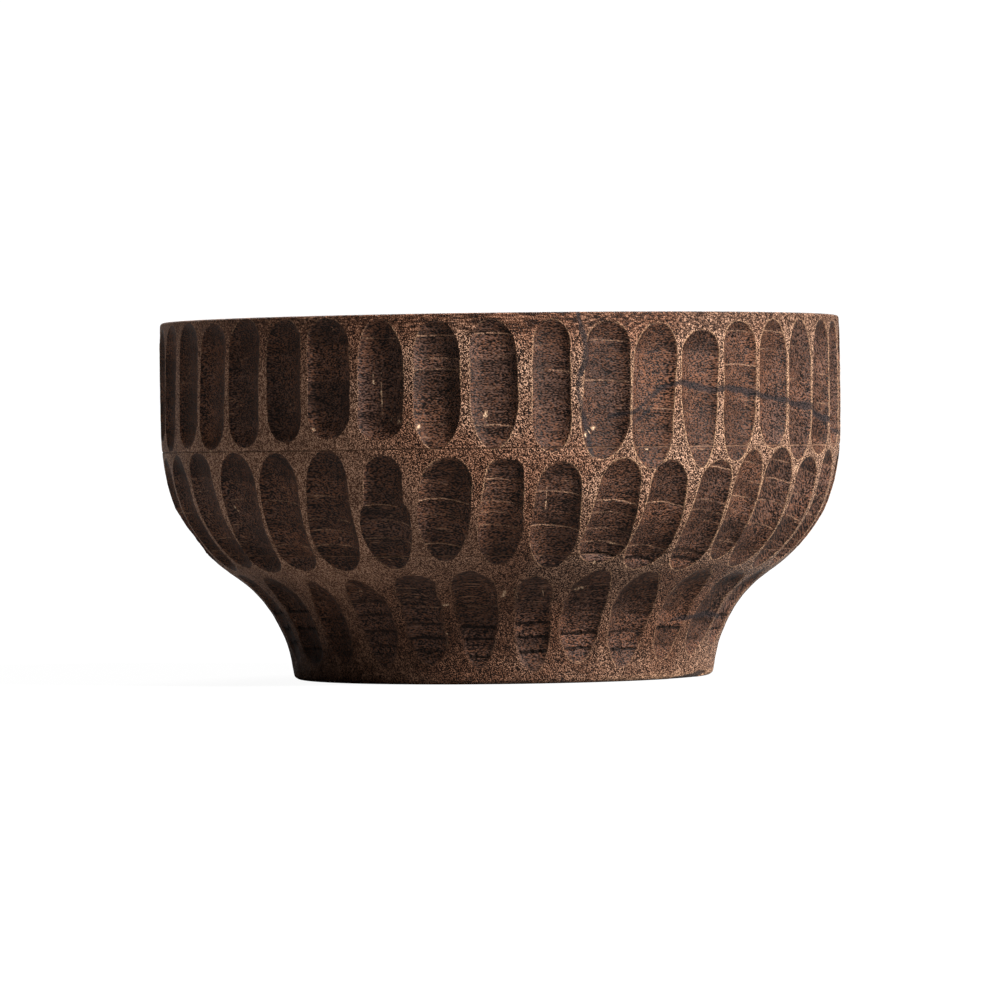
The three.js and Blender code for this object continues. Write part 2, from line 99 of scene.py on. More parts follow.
MIDDLE_SCOOPS = [
    [-70.90, 0.30, -1.00, 99.3, 48.6, 10.11, -0.03, 0.07, 14.0, 6.0, 3.05],
    [-61.05, -0.04, -0.70, 100.0, 50.2, 9.48, -0.00, 0.12, 7.0, 7.0, 2.93],
    [-50.50, 0.68, -3.16, 100.0, 48.2, 11.60, -0.06, 0.02, 16.0, 7.0, 3.48],
    [-40.59, 0.82, -2.25, 99.8, 49.2, 10.70, -0.05, -0.00, 17.0, 8.0, 3.04],
    [-30.58, 0.95, -1.77, 100.8, 49.3, 10.70, 0.17, 0.02, 12.0, 16.0, 3.11],
    [-20.61, 0.82, -0.57, 80.3, 49.9, 11.52, 0.00, -0.01, 8.0, 19.0, 2.84],
    [-19.89, 0.34, -0.59, 98.1, 71.0, 8.70, 0.07, 0.01, 8.0, 8.0, 2.50],
    [-9.71, 1.16, -1.13, 97.1, 53.2, 11.07, 0.02, 0.03, 12.0, 23.0, 3.15],
    [-0.07, 0.89, -0.88, 96.2, 51.5, 8.83, 0.18, 0.05, 4.0, 19.0, 2.48],
    [9.27, 0.59, -0.15, 94.6, 49.9, 10.23, 0.13, 0.01, 10.0, 19.0, 2.81],
    [19.39, 0.95, -1.18, 95.8, 51.7, 9.95, 0.15, 0.02, 10.0, 10.0, 2.81],
    [28.53, 0.17, -1.41, 94.9, 48.7, 9.49, 0.15, 0.03, 10.0, 12.0, 2.86],
    [37.64, 1.14, 0.33, 94.6, 47.8, 9.39, 0.12, -0.01, 9.0, 12.0, 2.36],
    [45.34, 0.97, 0.48, 98.8, 51.9, 8.30, -0.06, 0.00, 17.0, 10.0, 2.30],
    [53.49, 0.20, 0.53, 99.7, 48.3, 11.31, 0.08, 0.01, 15.0, 15.0, 3.23],
    [63.49, -0.13, 0.15, 95.5, 47.5, 11.01, 0.02, 0.02, 10.0, 15.0, 3.22],
    [73.60, -0.80, -0.40, 98.4, 48.0, 9.80, 0.05, 0.10, 10.0, 10.0, 3.07],
    [83.55, 0.45, -0.54, 98.4, 52.6, 10.25, -0.02, 0.04, 11.2, 9.4, 2.64],
    [93.72, 1.36, -1.41, 96.6, 52.5, 9.97, 0.13, 0.10, 10.8, 8.9, 3.38],
    [102.38, 1.60, -1.23, 97.5, 52.5, 10.62, 0.13, 0.11, 13.2, 10.6, 3.09],
    [112.94, 1.59, -0.47, 96.9, 47.4, 9.75, 0.19, 0.08, 11.0, 9.9, 3.06],
    [122.42, 0.92, -1.48, 99.5, 49.8, 10.56, 0.09, 0.06, 8.4, 11.6, 3.47],
    [132.39, 0.89, -0.62, 98.5, 51.2, 9.00, 0.09, 0.06, 10.7, 9.7, 2.96],
    [142.12, 0.59, -0.32, 100.7, 51.2, 9.78, 0.05, 0.19, 10.1, 13.4, 3.26],
    [152.50, 0.18, -1.45, 94.7, 49.3, 10.74, 0.08, 0.08, 11.4, 7.4, 3.40],
    [161.64, 0.49, -1.88, 97.4, 53.1, 10.32, 0.04, 0.14, 11.9, 12.2, 3.34],
    [171.72, 1.41, -0.45, 94.2, 49.9, 9.60, 0.03, 0.14, 15.0, 12.6, 3.48],
    [180.41, 0.25, -0.96, 100.4, 47.7, 10.35, 0.10, 0.14, 11.1, 10.7, 3.42],
    [192.37, 1.12, -0.71, 100.8, 49.7, 9.90, 0.07, 0.07, 11.3, 10.6, 3.04],
    [200.59, 0.49, -0.51, 100.2, 46.7, 9.60, 0.12, 0.09, 10.0, 11.5, 2.71],
    [210.66, 0.72, -0.24, 97.6, 51.4, 9.04, 0.10, 0.04, 11.9, 11.7, 2.41],
    [220.68, 0.50, -0.29, 95.9, 50.5, 10.72, 0.10, 0.08, 8.4, 8.4, 3.13],
    [230.12, 0.42, -1.48, 99.5, 48.6, 10.47, 0.07, 0.14, 15.6, 9.8, 3.16],
    [239.65, 1.00, -0.40, 98.0, 49.1, 9.97, 0.08, 0.03, 12.4, 13.7, 3.00],
    [249.80, 0.62, -0.99, 99.7, 51.3, 10.11, 0.09, 0.11, 10.4, 11.0, 3.04],
    [259.63, 0.20, -1.65, 98.5, 48.4, 9.68, 0.03, 0.06, 12.0, 11.2, 2.81],
    [269.56, 0.99, -0.05, 101.0, 49.8, 9.75, 0.12, 0.18, 11.0, 9.8, 3.07],
    [279.05, 1.49, -0.92, 98.3, 51.3, 10.37, 0.14, 0.19, 10.4, 14.4, 3.32],
]
LOWER_SCOOPS = [
    [-59.84, 1.02, -1.65, 46.0, 7.5, 9.73, -0.12, 0.00, 10.0, 7.0, 2.25],
    [-46.51, 2.06, -0.03, 44.4, 8.1, 8.30, -0.00, 0.00, 14.0, 17.0, 1.68],
    [-32.31, -0.51, -0.42, 45.4, 7.1, 9.11, -0.01, 0.01, 11.0, 23.0, 1.86],
    [-19.53, 1.06, 0.44, 47.5, 8.5, 8.83, -0.12, 0.01, 4.0, 11.0, 1.98],
    [-6.22, -0.28, -0.41, 49.0, 6.3, 9.25, -0.15, -0.04, 10.0, 26.0, 2.06],
    [7.14, -0.21, 0.64, 46.5, 5.1, 7.76, -0.08, -0.02, 9.0, 16.0, 1.68],
    [19.13, 0.83, 0.66, 49.1, 9.0, 9.57, -0.01, 0.00, 14.0, 21.0, 2.08],
    [32.39, -1.03, 0.28, 47.8, 5.9, 10.29, -0.07, 0.01, 15.0, 26.0, 2.31],
    [46.26, -0.43, 0.16, 48.3, 8.6, 9.57, -0.05, -0.02, 11.0, 26.0, 2.03],
    [60.31, -0.77, -0.78, 46.5, 10.0, 10.14, 0.03, 0.02, 4.0, 19.0, 2.37],
    [72.74, -0.80, 0.20, 47.3, 13.5, 10.12, 0.00, -0.01, 9.0, 12.0, 2.26],
    [85.70, 0.07, 0.23, 46.8, 8.9, 8.08, -0.17, 0.12, 6.0, 19.4, 1.80],
    [99.40, -0.45, 0.79, 48.4, 8.9, 8.59, -0.21, 0.17, 4.9, 18.0, 2.26],
    [113.28, 0.70, -0.80, 47.1, 8.0, 8.59, -0.22, 0.08, 8.9, 15.3, 1.95],
    [125.78, 0.32, 1.00, 48.9, 8.2, 7.98, -0.11, 0.07, 5.6, 15.3, 1.83],
    [138.78, 0.02, 0.32, 46.1, 8.7, 8.29, -0.25, 0.17, 8.4, 19.7, 1.98],
    [152.82, 0.16, 0.18, 47.1, 7.0, 8.38, -0.16, 0.04, 7.3, 17.0, 1.99],
    [166.74, 0.41, 0.65, 46.2, 5.4, 8.25, -0.18, 0.08, 9.0, 21.4, 1.87],
    [180.32, 0.11, -0.80, 44.9, 10.9, 7.58, -0.21, 0.04, 7.5, 13.2, 1.55],
    [193.91, -0.78, -0.68, 46.7, 7.4, 8.26, -0.33, -0.01, 7.5, 17.4, 1.68],
    [205.98, 0.48, -0.03, 44.9, 8.0, 7.96, -0.22, 0.11, 6.5, 19.3, 1.81],
    [219.53, 0.67, -0.61, 46.2, 10.2, 8.50, -0.21, 0.16, 5.2, 17.9, 2.13],
    [233.64, 0.18, -0.50, 49.0, 9.5, 7.84, -0.20, 0.04, 10.5, 18.5, 1.71],
    [246.17, 0.81, -0.03, 45.7, 6.1, 8.30, -0.26, 0.03, 6.2, 19.1, 1.94],
    [259.96, 0.34, -0.21, 48.7, 6.0, 8.85, -0.23, 0.17, 5.9, 17.2, 2.27],
    [274.42, 0.27, -0.46, 46.7, 6.5, 8.35, -0.21, 0.06, 4.4, 14.8, 1.98],
    [286.64, 0.72, 0.01, 47.1, 8.0, 8.15, -0.19, 0.02, 5.4, 11.5, 1.64],
]
SCOOPS = np.array(UPPER_SCOOPS + MIDDLE_SCOOPS + LOWER_SCOOPS)
ROW = np.array([0] * len(UPPER_SCOOPS) + [1] * len(MIDDLE_SCOOPS) + [2] * len(LOWER_SCOOPS))
NS = len(SCOOPS)
RNG = np.random.default_rng(20)


def smooth_curve(xs, ys):
    """Monotone-ish cubic through the points, as a dense table for np.interp."""
    xs, ys = np.array(xs, float), np.array(ys, float)
    h = np.diff(xs)
    d = np.diff(ys) / h
    m = np.concatenate([[d[0]], (d[:-1] * h[1:] + d[1:] * h[:-1]) / (h[:-1] + h[1:]), [d[-1]]])
    X, Y = [], []
    for i in range(len(h)):
        t = np.linspace(0, 1, 24, endpoint=False)
        h00, h10, h01, h11 = 2*t**3-3*t**2+1, t**3-2*t**2+t, -2*t**3+3*t**2, t**3-t**2
        X.append(xs[i] + t * h[i])
        Y.append(h00*ys[i] + h10*h[i]*m[i] + h01*ys[i+1] + h11*h[i]*m[i+1])
    return np.append(np.concatenate(X), xs[-1]), np.append(np.concatenate(Y), ys[-1])


PZ, PR = smooth_curve(OUT_Z, OUT_R)


def r_out(z):
    return np.interp(z, PZ, PR)


def slope_cos(z):
    """cosine of the wall's lean: 1 where it is upright."""
    g = (r_out(np.asarray(z) + 0.8) - r_out(np.asarray(z) - 0.8)) / 1.6
    return 1 / np.sqrt(1 + g * g)


# ---------------------------------------------------------------- seeded value noise, periodic round the bowl
def lattice(seed, nu, nv):
    return np.random.default_rng(seed).random((nv, nu)) * 2 - 1


def vnoise(u, v, seed, period, cells=256):
    """u in cells, wraps after `period` cells; v in cells."""
    g = lattice(seed, period, cells)
    u0, v0 = np.floor(u).astype(int), np.floor(v).astype(int)
    fu, fv = u - u0, v - v0
    fu, fv = fu * fu * (3 - 2 * fu), fv * fv * (3 - 2 * fv)
    a, b = g[v0 % cells, u0 % period], g[v0 % cells, (u0 + 1) % period]
    c, d = g[(v0 + 1) % cells, u0 % period], g[(v0 + 1) % cells, (u0 + 1) % period]
    return (a * (1 - fu) + b * fu) * (1 - fv) + (c * (1 - fu) + d * fu) * fv


def around(th, z, size_u, size_v, seed):
    """noise with cells of about size_u by size_v mm on the wall."""
    period = max(8, int(round(2 * math.pi * 135 / size_u)))
    return vnoise((th / (2 * math.pi)) % 1.0 * period, z / size_v + 37.3, seed, period)


# ---------------------------------------------------------------- the scoops
# where the gouge paused in the scoops at the front: height of each small step across the cut (mm), and how much it
# shows: above 0 a pale lip, rubbed wood with a painted highlight; below 0 a nick painted dark as its shadow
STEPS = {
    2: [(146.4, 0.25), (129.4, 0.25), (114.0, 0.25)], 3: [(145.9, 0.25), (134.1, 0.2), (121.8, 0.2), (113.3, 0.2)],
    4: [(142.9, 0.15), (122.7, 0.15)], 5: [(144.6, 0.3), (129.9, 0.15), (115.7, 0.2)],
    6: [(147.1, 0.5), (141.3, 0.2), (133.3, 0.2)],
    7: [(147.9, 0.8), (138.4, 0.6), (133.8, 0.6), (122.6, 0.25), (110.9, 0.5)],
    8: [(148.5, 0.8), (138.9, 0.2), (110.2, 0.8)], 9: [(143.2, 0.3), (132.8, 0.6), (119.5, 0.25)],
    10: [(145.1, 0.6), (128.4, 0.6), (115.5, 0.25)], 11: [(140.8, 0.3), (116.5, 0.7), (107.3, 0.3)],
    12: [(139.9, 0.3), (123.5, 0.3), (99.1, 0.4)], 13: [(148.8, 0.6), (134.8, 0.7), (120.0, 0.3)],
    14: [(148.9, 0.6), (141.2, 0.6), (124.6, 0.3)], 15: [(142.6, 0.4), (128.5, 0.4), (115.3, 0.3)],
    43: [(88.3, 0.2), (79.8, 0.5), (69.5, 0.5), (60.4, 0.2)],
    44: [(89.9, 0.15), (79.3, 0.7), (70.4, 0.5), (67.8, 0.4), (60.5, 0.5)],
    45: [(89.3, 0.15), (81.3, 0.6), (71.6, 0.5), (66.9, 0.5), (60.5, 0.6)],
    46: [(71.0, 0.5), (63.4, 0.5), (55.3, 0.8)], 47: [(91.6, 0.15), (83.6, 0.2), (77.3, 0.9)],
    48: [(87.1, 0.2), (79.6, 1.0), (72.9, 0.5), (66.6, 0.2), (60.7, 1.0)],
    49: [(87.7, 0.6), (78.5, 0.5), (73.9, 0.5), (68.4, 0.5), (60.0, 0.2)],
    50: [(82.4, 0.7), (74.4, 0.4), (68.1, 0.9), (59.7, 0.2)],
    51: [(86.6, 0.2), (78.3, 1.0), (73.2, 0.6), (66.5, 0.5), (61.0, 0.6), (56.3, -0.6)],
    52: [(84.2, 0.2), (77.1, 0.8), (69.9, 0.2), (64.8, 0.2), (58.9, 0.5), (54.1, -0.7)],
    53: [(91.5, 1.0), (84.4, 0.3), (77.6, 0.6), (73.4, 0.5), (69.5, 0.6), (62.7, 0.3), (57.1, -0.5), (53.6, -0.6)],
    54: [(93.4, 0.5), (85.8, 0.5), (79.0, 0.6), (68.8, 0.5), (60.2, 0.3)],
    55: [(94.1, 0.5), (86.5, 0.6), (77.1, 0.5), (67.2, 0.5), (59.8, 0.3)],
    56: [(89.7, 0.5), (79.4, 0.5), (70.3, 0.5), (59.2, 0.4)],
    80: [(35.6, 0.3), (28.6, -0.4), (20.7, -0.4)], 81: [(36.2, -0.5), (30.5, -0.5), (23.5, -0.5), (17.0, -0.5)],
    82: [(33.6, 0.6), (26.6, -0.5), (20.6, -0.9), (15.0, -0.4)], 83: [(33.8, 0.5), (25.2, -0.9), (20.0, -0.9), (12.3, -0.9)],
    84: [(37.0, 0.2), (26.7, -0.9), (20.6, -0.9), (14.2, -0.9)], 85: [(31.4, -0.3), (21.9, -0.9), (15.4, -0.9)],
    86: [(30.0, -0.3), (22.2, -0.5), (14.4, -0.8)], 87: [(31.1, -0.3), (23.1, -0.7), (15.7, -0.4)],
    88: [(33.9, -0.4), (25.8, -0.4), (17.7, -0.4)],
}
CHATTER = []
for k in range(NS):
    zt, zb = SCOOPS[k, 3], SCOOPS[k, 4]
    if k in STEPS:
        lips, show = [a for a, _ in STEPS[k]], [b for _, b in STEPS[k]]
    else:
        z, lips, show = zt - 5 - 6 * RNG.random(), [], []
        gap = (12.0, 7.5, 6.5)[ROW[k]]
        while z > zb + 3.5:
            v = 0.12 + (0.40, 0.50, 0.5)[ROW[k]] * RNG.random()
            lips.append(z)
            show.append(-v - 0.3 if ROW[k] == 2 and z < zt - 0.35 * (zt - zb) else v)
            z -= gap * (0.55 + 0.9 * RNG.random())
    order = np.argsort(lips)
    tones = RNG.random(len(lips) + 1)
    tones[-1] *= 0.15                        # the cap above the highest step gets the lowest tone: painted shade under the top end of the cut
    CHATTER.append((np.array(lips)[order], np.array(show)[order], tones))
TONE = RNG.random(NS)


def bow(k, x):
    """how far a step across the cut lies below its middle, x mm to the side."""
    return (0.005, 0.013, 0.004)[ROW[k]] * x * x + (0.03, 0.10, 0.0)[ROW[k]] * x + 0.13 * np.sin(x * 0.36 + k * 1.3) + 0.05 * np.sin(x * 1.05 + k * 2.1)


def half_width(k, s, sg, z):
    """half width of a scoop at s (0 top, 1 foot), on its left (-1) or right (1) side, with a hand's wobble; and the ends' cap."""
    a, lt, lf, zt, zb, W, K, M, ET, EB, D = SCOOPS[k]
    L = zt - zb
    t1, t2 = np.clip(s * L / ET, 0, 1), np.clip((1 - s) * L / EB, 0, 1)
    c1, c2 = np.sqrt(np.clip(1 - (1 - t1) ** 2, 1e-6, 1)), np.sqrt(np.clip(1 - (1 - t2) ** 2, 1e-6, 1))
    e = 2 * s - 1
    wa = (0.009, 0.010, 0.026)[ROW[k]]
    wob = 1 + wa * np.sin(z * 0.37 + k * 1.7 + sg * 0.8) + 0.6 * wa * np.sin(z * 0.93 + k * 2.9 + sg * 1.3)
    return W * (1 + K * e + M * (1 - e * e)) * c1 * c2 * wob


def centre(k, s):
    a, lt, lf = SCOOPS[k, :3]
    return np.radians(a + lt * (1 - s) * (1 - 2 * s) + lf * s * (2 * s - 1))


def scoop_fields(k, th, z):
    """radial depth, signed distance to the scoop's edge (mm, inside > 0), height along the cut, for points th (rad), z."""
    a, lt, lf, zt, zb, W, K, M, ET, EB, D = SCOOPS[k]
    L = zt - zb
    s = (zt - z) / L
    d = (th - centre(k, s) + math.pi) % (2 * math.pi) - math.pi
    x = d * r_out(z)
    sc = np.clip(s, 1e-4, 1 - 1e-4)
    sg = np.sign(x)
    w = half_width(k, sc, sg, z)
    dw = (half_width(k, np.clip(sc + 0.01, 1e-4, 1 - 1e-4), sg, z) - half_width(k, np.clip(sc - 0.01, 1e-4, 1 - 1e-4), sg, z)) / (0.02 * L)
    gap = (w - np.abs(x)) / np.sqrt(1 + dw * dw)
    inside = (s > 0) & (s < 1)
    ends = np.minimum(s * L, (1 - s) * L)
    over = np.where(s <= 0, z - zt, np.where(s >= 1, zb - z, 0.0))
    dist = np.where(inside, np.where(gap > 0, np.minimum(gap, ends + 0.2), gap), -np.sqrt(x * x + over * over))
    # the gouge's own round section, fading in and out quickly at the two ends
    u = np.abs(x) / np.maximum(w, 0.3)
    t = np.clip(np.minimum(s * L / 3.0, (1 - s) * L / 5.0), 0, 1)
    fade = np.where(inside, t * (2 - t), 0)
    WW = (W * (1 + 0.8 * M)) ** 2
    depth = np.where(inside & (u < 1), (1 - np.minimum(u, 1) ** 3.0) * w * w / WW * fade, 0.0) * D * 1.06 / slope_cos(z)
    along = z + bow(k, x)
    return depth, dist, along, x / np.maximum(w, 0.5)


def lips_of(k, along):
    """relief of the steps, and for the odd and the even steps the signed distance to the nearest and how much it
    shows, and the tone of the stretch between two steps."""
    L, S, TN = CHATTER[k]
    i = np.searchsorted(L, along)
    ext, sx = np.concatenate([[-99.0], L, [399.0]]), np.concatenate([[0.0], S, [0.0]])
    u1, u2, s1, s2 = along - ext[i], along - ext[i + 1], sx[i], sx[i + 1]

    def relief(s, u):
        a = np.where(s > 0, 0.30 * s, -0.42 * s)
        pale = np.where(u < 0, np.exp(np.minimum(u, 0) / 2.2), -0.5 * np.exp(-np.maximum(u, 0) / 1.3))
        nick = np.where(u > 0, 0.6 * np.exp(-np.maximum(u, 0) / 2.0), -np.exp(np.minimum(u, 0) / 1.6))
        return a * np.where(s > 0, pale, nick)
    step = relief(s1, u1) + relief(s2, u2)
    odd = i % 2 == 1
    c1, c2 = np.clip(u1, -9, 9), np.clip(u2, -9, 9)
    return step, np.where(odd, c1, c2), np.where(odd, s1, s2), np.where(odd, c2, c1), np.where(odd, s2, s1), TN[i]


def wall_fields(th, z):
    """th, z arrays of the same shape -> dict of fields on the outside wall."""
    depth = np.zeros_like(th)
    edge = np.full_like(th, -9.0)
    who = np.full(th.shape, -1)
    second = np.full(th.shape, -1)
    step, la, sa, lb, sb = (np.full_like(th, v) for v in (0.0, 9.0, 0.0, 9.0, 0.0))
    tone = np.full_like(th, 0.5)
    for k in range(NS):
        a, lt, lf, zt, zb, W, K, M, ET, EB, D = SCOOPS[k]
        sel_rows = (z[:, 0] < zt + 8) & (z[:, 0] > zb - 8)
        if not sel_rows.any():
            continue
        rows = np.where(sel_rows)[0]
        n = th.shape[1]
        mid = int(round((math.radians(a) % (2 * math.pi)) / (2 * math.pi) * n))
        half = int(math.ceil((W * 1.35 + 6) / (math.pi * 2 * 92) * n)) + 3
        cols = (np.arange(mid - half, mid + half + 1)) % n
        ix = np.ix_(rows, cols)
        d, e, al, u = scoop_fields(k, th[ix], z[ix])
        new = lips_of(k, al)
        old = depth[ix]
        win = d > old
        sec = second[ix]
        w0 = who[ix]
        sec = np.where(win, w0, np.where((d > 0) & (d <= old), k, sec))
        second[ix] = sec
        who[ix] = np.where(win, k, w0)
        depth[ix] = np.where(win, d, old)
        for field, val in zip((step, la, sa, lb, sb, tone), new):
            field[ix] = np.where(win, val, field[ix])
        edge[ix] = np.maximum(edge[ix], e)
    return dict(depth=depth, edge=edge, who=who, step=step, la=la, sa=sa, lb=lb, sb=sb, tone=tone)


def snap_columns(th, z, fields):
    """moves each row's vertices onto the scoops' edges and onto the crests between overlapping scoops."""
    n = th.shape[1]
    dth = 2 * math.pi / n
    out = th.copy()
    rows_z = z[:, 0]
    for j in range(len(rows_z)):
        zz = rows_z[j]
        want = {}
        for k in range(NS):
            zt, zb = SCOOPS[k, 3], SCOOPS[k, 4]
            if not (zb < zz < zt):
                continue
            s = (zt - zz) / (zt - zb)
            r = float(r_out(zz))
            for sg in (-1, 1):
                w = float(half_width(k, s, sg, zz))
                t = (float(centre(k, s)) + sg * w / r) % (2 * math.pi)
                i = int(round(t / dth)) % n
                # only where no other scoop already cuts this point away
                if fields["who"][j, i] in (-1, k) or fields["depth"][j, i] < 0.12:
                    want[i] = t
        who = fields["who"][j]
        nxt = np.roll(who, -1)
        change = np.where((who != nxt) & (who >= 0) & (nxt >= 0))[0]
        for i in change:
            ka, kb = int(who[i]), int(nxt[i])
            t0 = i * dth
            tt = np.array([t0, t0 + dth])
            za = np.array([zz, zz])
            da = scoop_fields(ka, tt, za)[0] - scoop_fields(kb, tt, za)[0]
            if da[0] > 0 > da[1]:
                t = t0 + dth * da[0] / (da[0] - da[1])
                ii = int(round(t / dth)) % n
                want[ii] = t % (2 * math.pi)
        for i, t in want.items():
            d = (t - i * dth + math.pi) % (2 * math.pi) - math.pi
            out[j, i] = i * dth + d
    return out


def snap_rows(th, z, f):
    """moves vertices inside the cuts up or down onto the steps, so that each step runs as one clean arc."""
    rows, out, n = z[:, 0], z.copy(), th.shape[1]
    for k in range(NS):
        zt, zb = SCOOPS[k, 3], SCOOPS[k, 4]
        for lip in CHATTER[k][0]:
            if not (rows[0] < lip + 4 and lip - 6 < rows[-1]):
                continue
            s = (zt - lip) / (zt - zb)
            c, r = float(centre(k, s)), float(r_out(lip))
            w = float(half_width(k, s, 1, lip))
            m, h = int(round(c / (2 * math.pi) * n)), int(w / r / (2 * math.pi) * n)
            cols = np.arange(m - h, m + h + 1) % n
            x = ((cols * 2 * math.pi / n - c + math.pi) % (2 * math.pi) - math.pi) * r
            zz = lip - bow(k, x)
            j = np.clip(np.searchsorted(rows, zz), 1, len(rows) - 1)
            j = np.where(np.abs(rows[j - 1] - zz) < np.abs(rows[j] - zz), j - 1, j)
            ok = (j > 1) & (j < len(rows) - 2) & (f["who"][j, cols] == k) & (f["edge"][j, cols] > 0.6) & (np.abs(rows[j] - zz) < 0.6)
            out[j[ok], cols[ok]] = zz[ok]
    return out


# mineral streaks on the wall as lines of (angle deg, height mm, half thickness mm), and small bright chips
STREAKS = [
    [(12.6, 157.0, 0.7), (13.3, 149.3, 1.0), (13.9, 143.1, 1.0), (13.8, 136.0, 1.0), (12.8, 130.6, 0.7), (12.5, 123.5, 0.8),
     (13.1, 116.8, 0.9), (13.7, 111.8, 1.0), (14.2, 105.1, 1.2), (14.8, 97.2, 0.6)],
    [(18.2, 113.6, 0.4), (22.2, 114.9, 0.9), (25.0, 119.9, 0.6), (27.2, 124.9, 0.6), (30.2, 127.3, 0.9), (34.0, 125.6, 1.2),
     (37.3, 123.9, 1.0), (40.7, 125.0, 1.1), (44.3, 123.7, 1.3), (48.2, 121.7, 1.1), (52.0, 120.6, 1.2), (56.8, 118.6, 1.0),
     (63.2, 116.8, 1.4), (69.8, 112.7, 1.2), (75.0, 109.5, 1.0), (79.1, 106.5, 0.8), (86.0, 103.0, 0.4)],
    [(21.5, 109.5, 0.2), (23.8, 113.2, 0.5), (25.6, 118.2, 0.3)],
    [(22.3, 141.7, 0.1), (24.4, 139.1, 0.3), (26.6, 140.4, 0.1)],
    [(46.9, 26.4, 0.3), (52.9, 26.8, 0.8), (63.2, 27.6, 0.9), (76.2, 25.6, 0.3)],
    [(53.0, 0.0, 0.3), (58.0, 0.3, 0.5), (63.0, 0.7, 0.8), (68.0, 1.2, 1.1), (71.5, 1.7, 0.8), (73.0, 1.9, 0.2)],
    [(15.6, 0.0, 0.4), (16.0, 1.0, 0.5), (15.2, 2.6, 0.2)],
    [(190.0, 157.0, 0.5), (193.0, 140.0, 1.0), (191.0, 126.0, 1.3), (195.0, 112.0, 0.8), (198.0, 102.0, 0.4)],
    [(238.0, 90.0, 0.4), (244.0, 86.0, 1.0), (252.0, 84.0, 1.2), (259.0, 80.0, 0.6)],
    [(128.0, 118.0, 0.4), (134.0, 121.0, 1.0), (141.0, 119.0, 1.2), (149.0, 114.0, 0.8), (155.0, 113.0, 0.3)],
]
# small pale chips: angle, height, half length, half height (mm), tilt (deg, above 0 rises to the right)
CHIPS = [(-56.4, 100.4, 1.5, 1.3, 20), (-31.9, 109.1, 1.0, 1.0, 0), (-16.6, 112.2, 1.1, 2.3, 10), (-13.4, 109.8, 1.3, 2.2, -20),
         (-19.8, 124.0, 0.5, 9.5, 1), (-21.2, 128.0, 0.45, 5.0, 2), (-18.1, 126.0, 0.4, 4.0, 0), (-2.4, 114.3, 1.6, 2.4, -15),
         (13.7, 105.8, 1.2, 1.4, 0), (15.2, 108.6, 1.4, 1.7, 30), (24.3, 99.4, 2.6, 0.6, 0), (17.8, 51.7, 0.9, 1.6, 0),
         (17.4, 40.8, 3.9, 1.2, 18), (-33.6, 40.5, 1.2, 0.9, 0), (-53.6, 76.4, 0.8, 2.4, 25), (-13.0, 34.4, 2.6, 0.9, 6),
         (-14.3, 21.9, 0.9, 0.6, 0), (7.5, 77.5, 0.35, 8.0, -1), (21.0, 60.0, 3.0, 0.9, -12),
         (0.2, 39.0, 3.4, 1.4, 75), (3.2, 38.0, 0.4, 3.0, 12), (9.0, 39.5, 0.4, 3.2, 12), (58.5, 90.5, 2.4, 1.6, 50)]
for _ in range(26):
    CHIPS.append((95 + 170 * RNG.random(), 12 + 138 * RNG.random(), 0.5 + 2.2 * RNG.random() ** 2, 0.5 + 1.6 * RNG.random() ** 2, 90 * RNG.random() - 45))


def line_distance(th, z, line):
    best = np.full_like(th, 99.0)
    for (a0, z0, w0), (a1, z1, w1) in zip(line[:-1], line[1:]):
        R = float(r_out((z0 + z1) / 2))
        ac = math.radians((a0 + a1) / 2)
        x = ((th - ac + math.pi) % (2 * math.pi) - math.pi) * R
        x0, x1 = math.radians((a0 - a1) / 2) * R, math.radians((a1 - a0) / 2) * R
        dx, dz = x1 - x0, z1 - z0
        t = np.clip(((x - x0) * dx + (z - z0) * dz) / (dx * dx + dz * dz), 0, 1)
        d = np.hypot(x - x0 - t * dx, z - z0 - t * dz) - (w0 + t * (w1 - w0))
        best = np.minimum(best, d)
    return best


# ---------------------------------------------------------------- meshes
def ring_xyz(th, r, z):
    return np.stack([r * np.sin(th), -r * np.cos(th), np.broadcast_to(z, th.shape)], -1)


def arc_rows(z0, z1, pitch):
    """heights from z0 to z1, evenly spaced along the wall's slope."""
    zz = np.linspace(z0, z1, 2000)
    rr = r_out(zz)
    s = np.concatenate([[0], np.cumsum(np.hypot(np.diff(zz), np.diff(rr)))])
    n = int(round(s[-1] / pitch))
    return np.interp(np.linspace(0, s[-1], n + 1), s, zz)


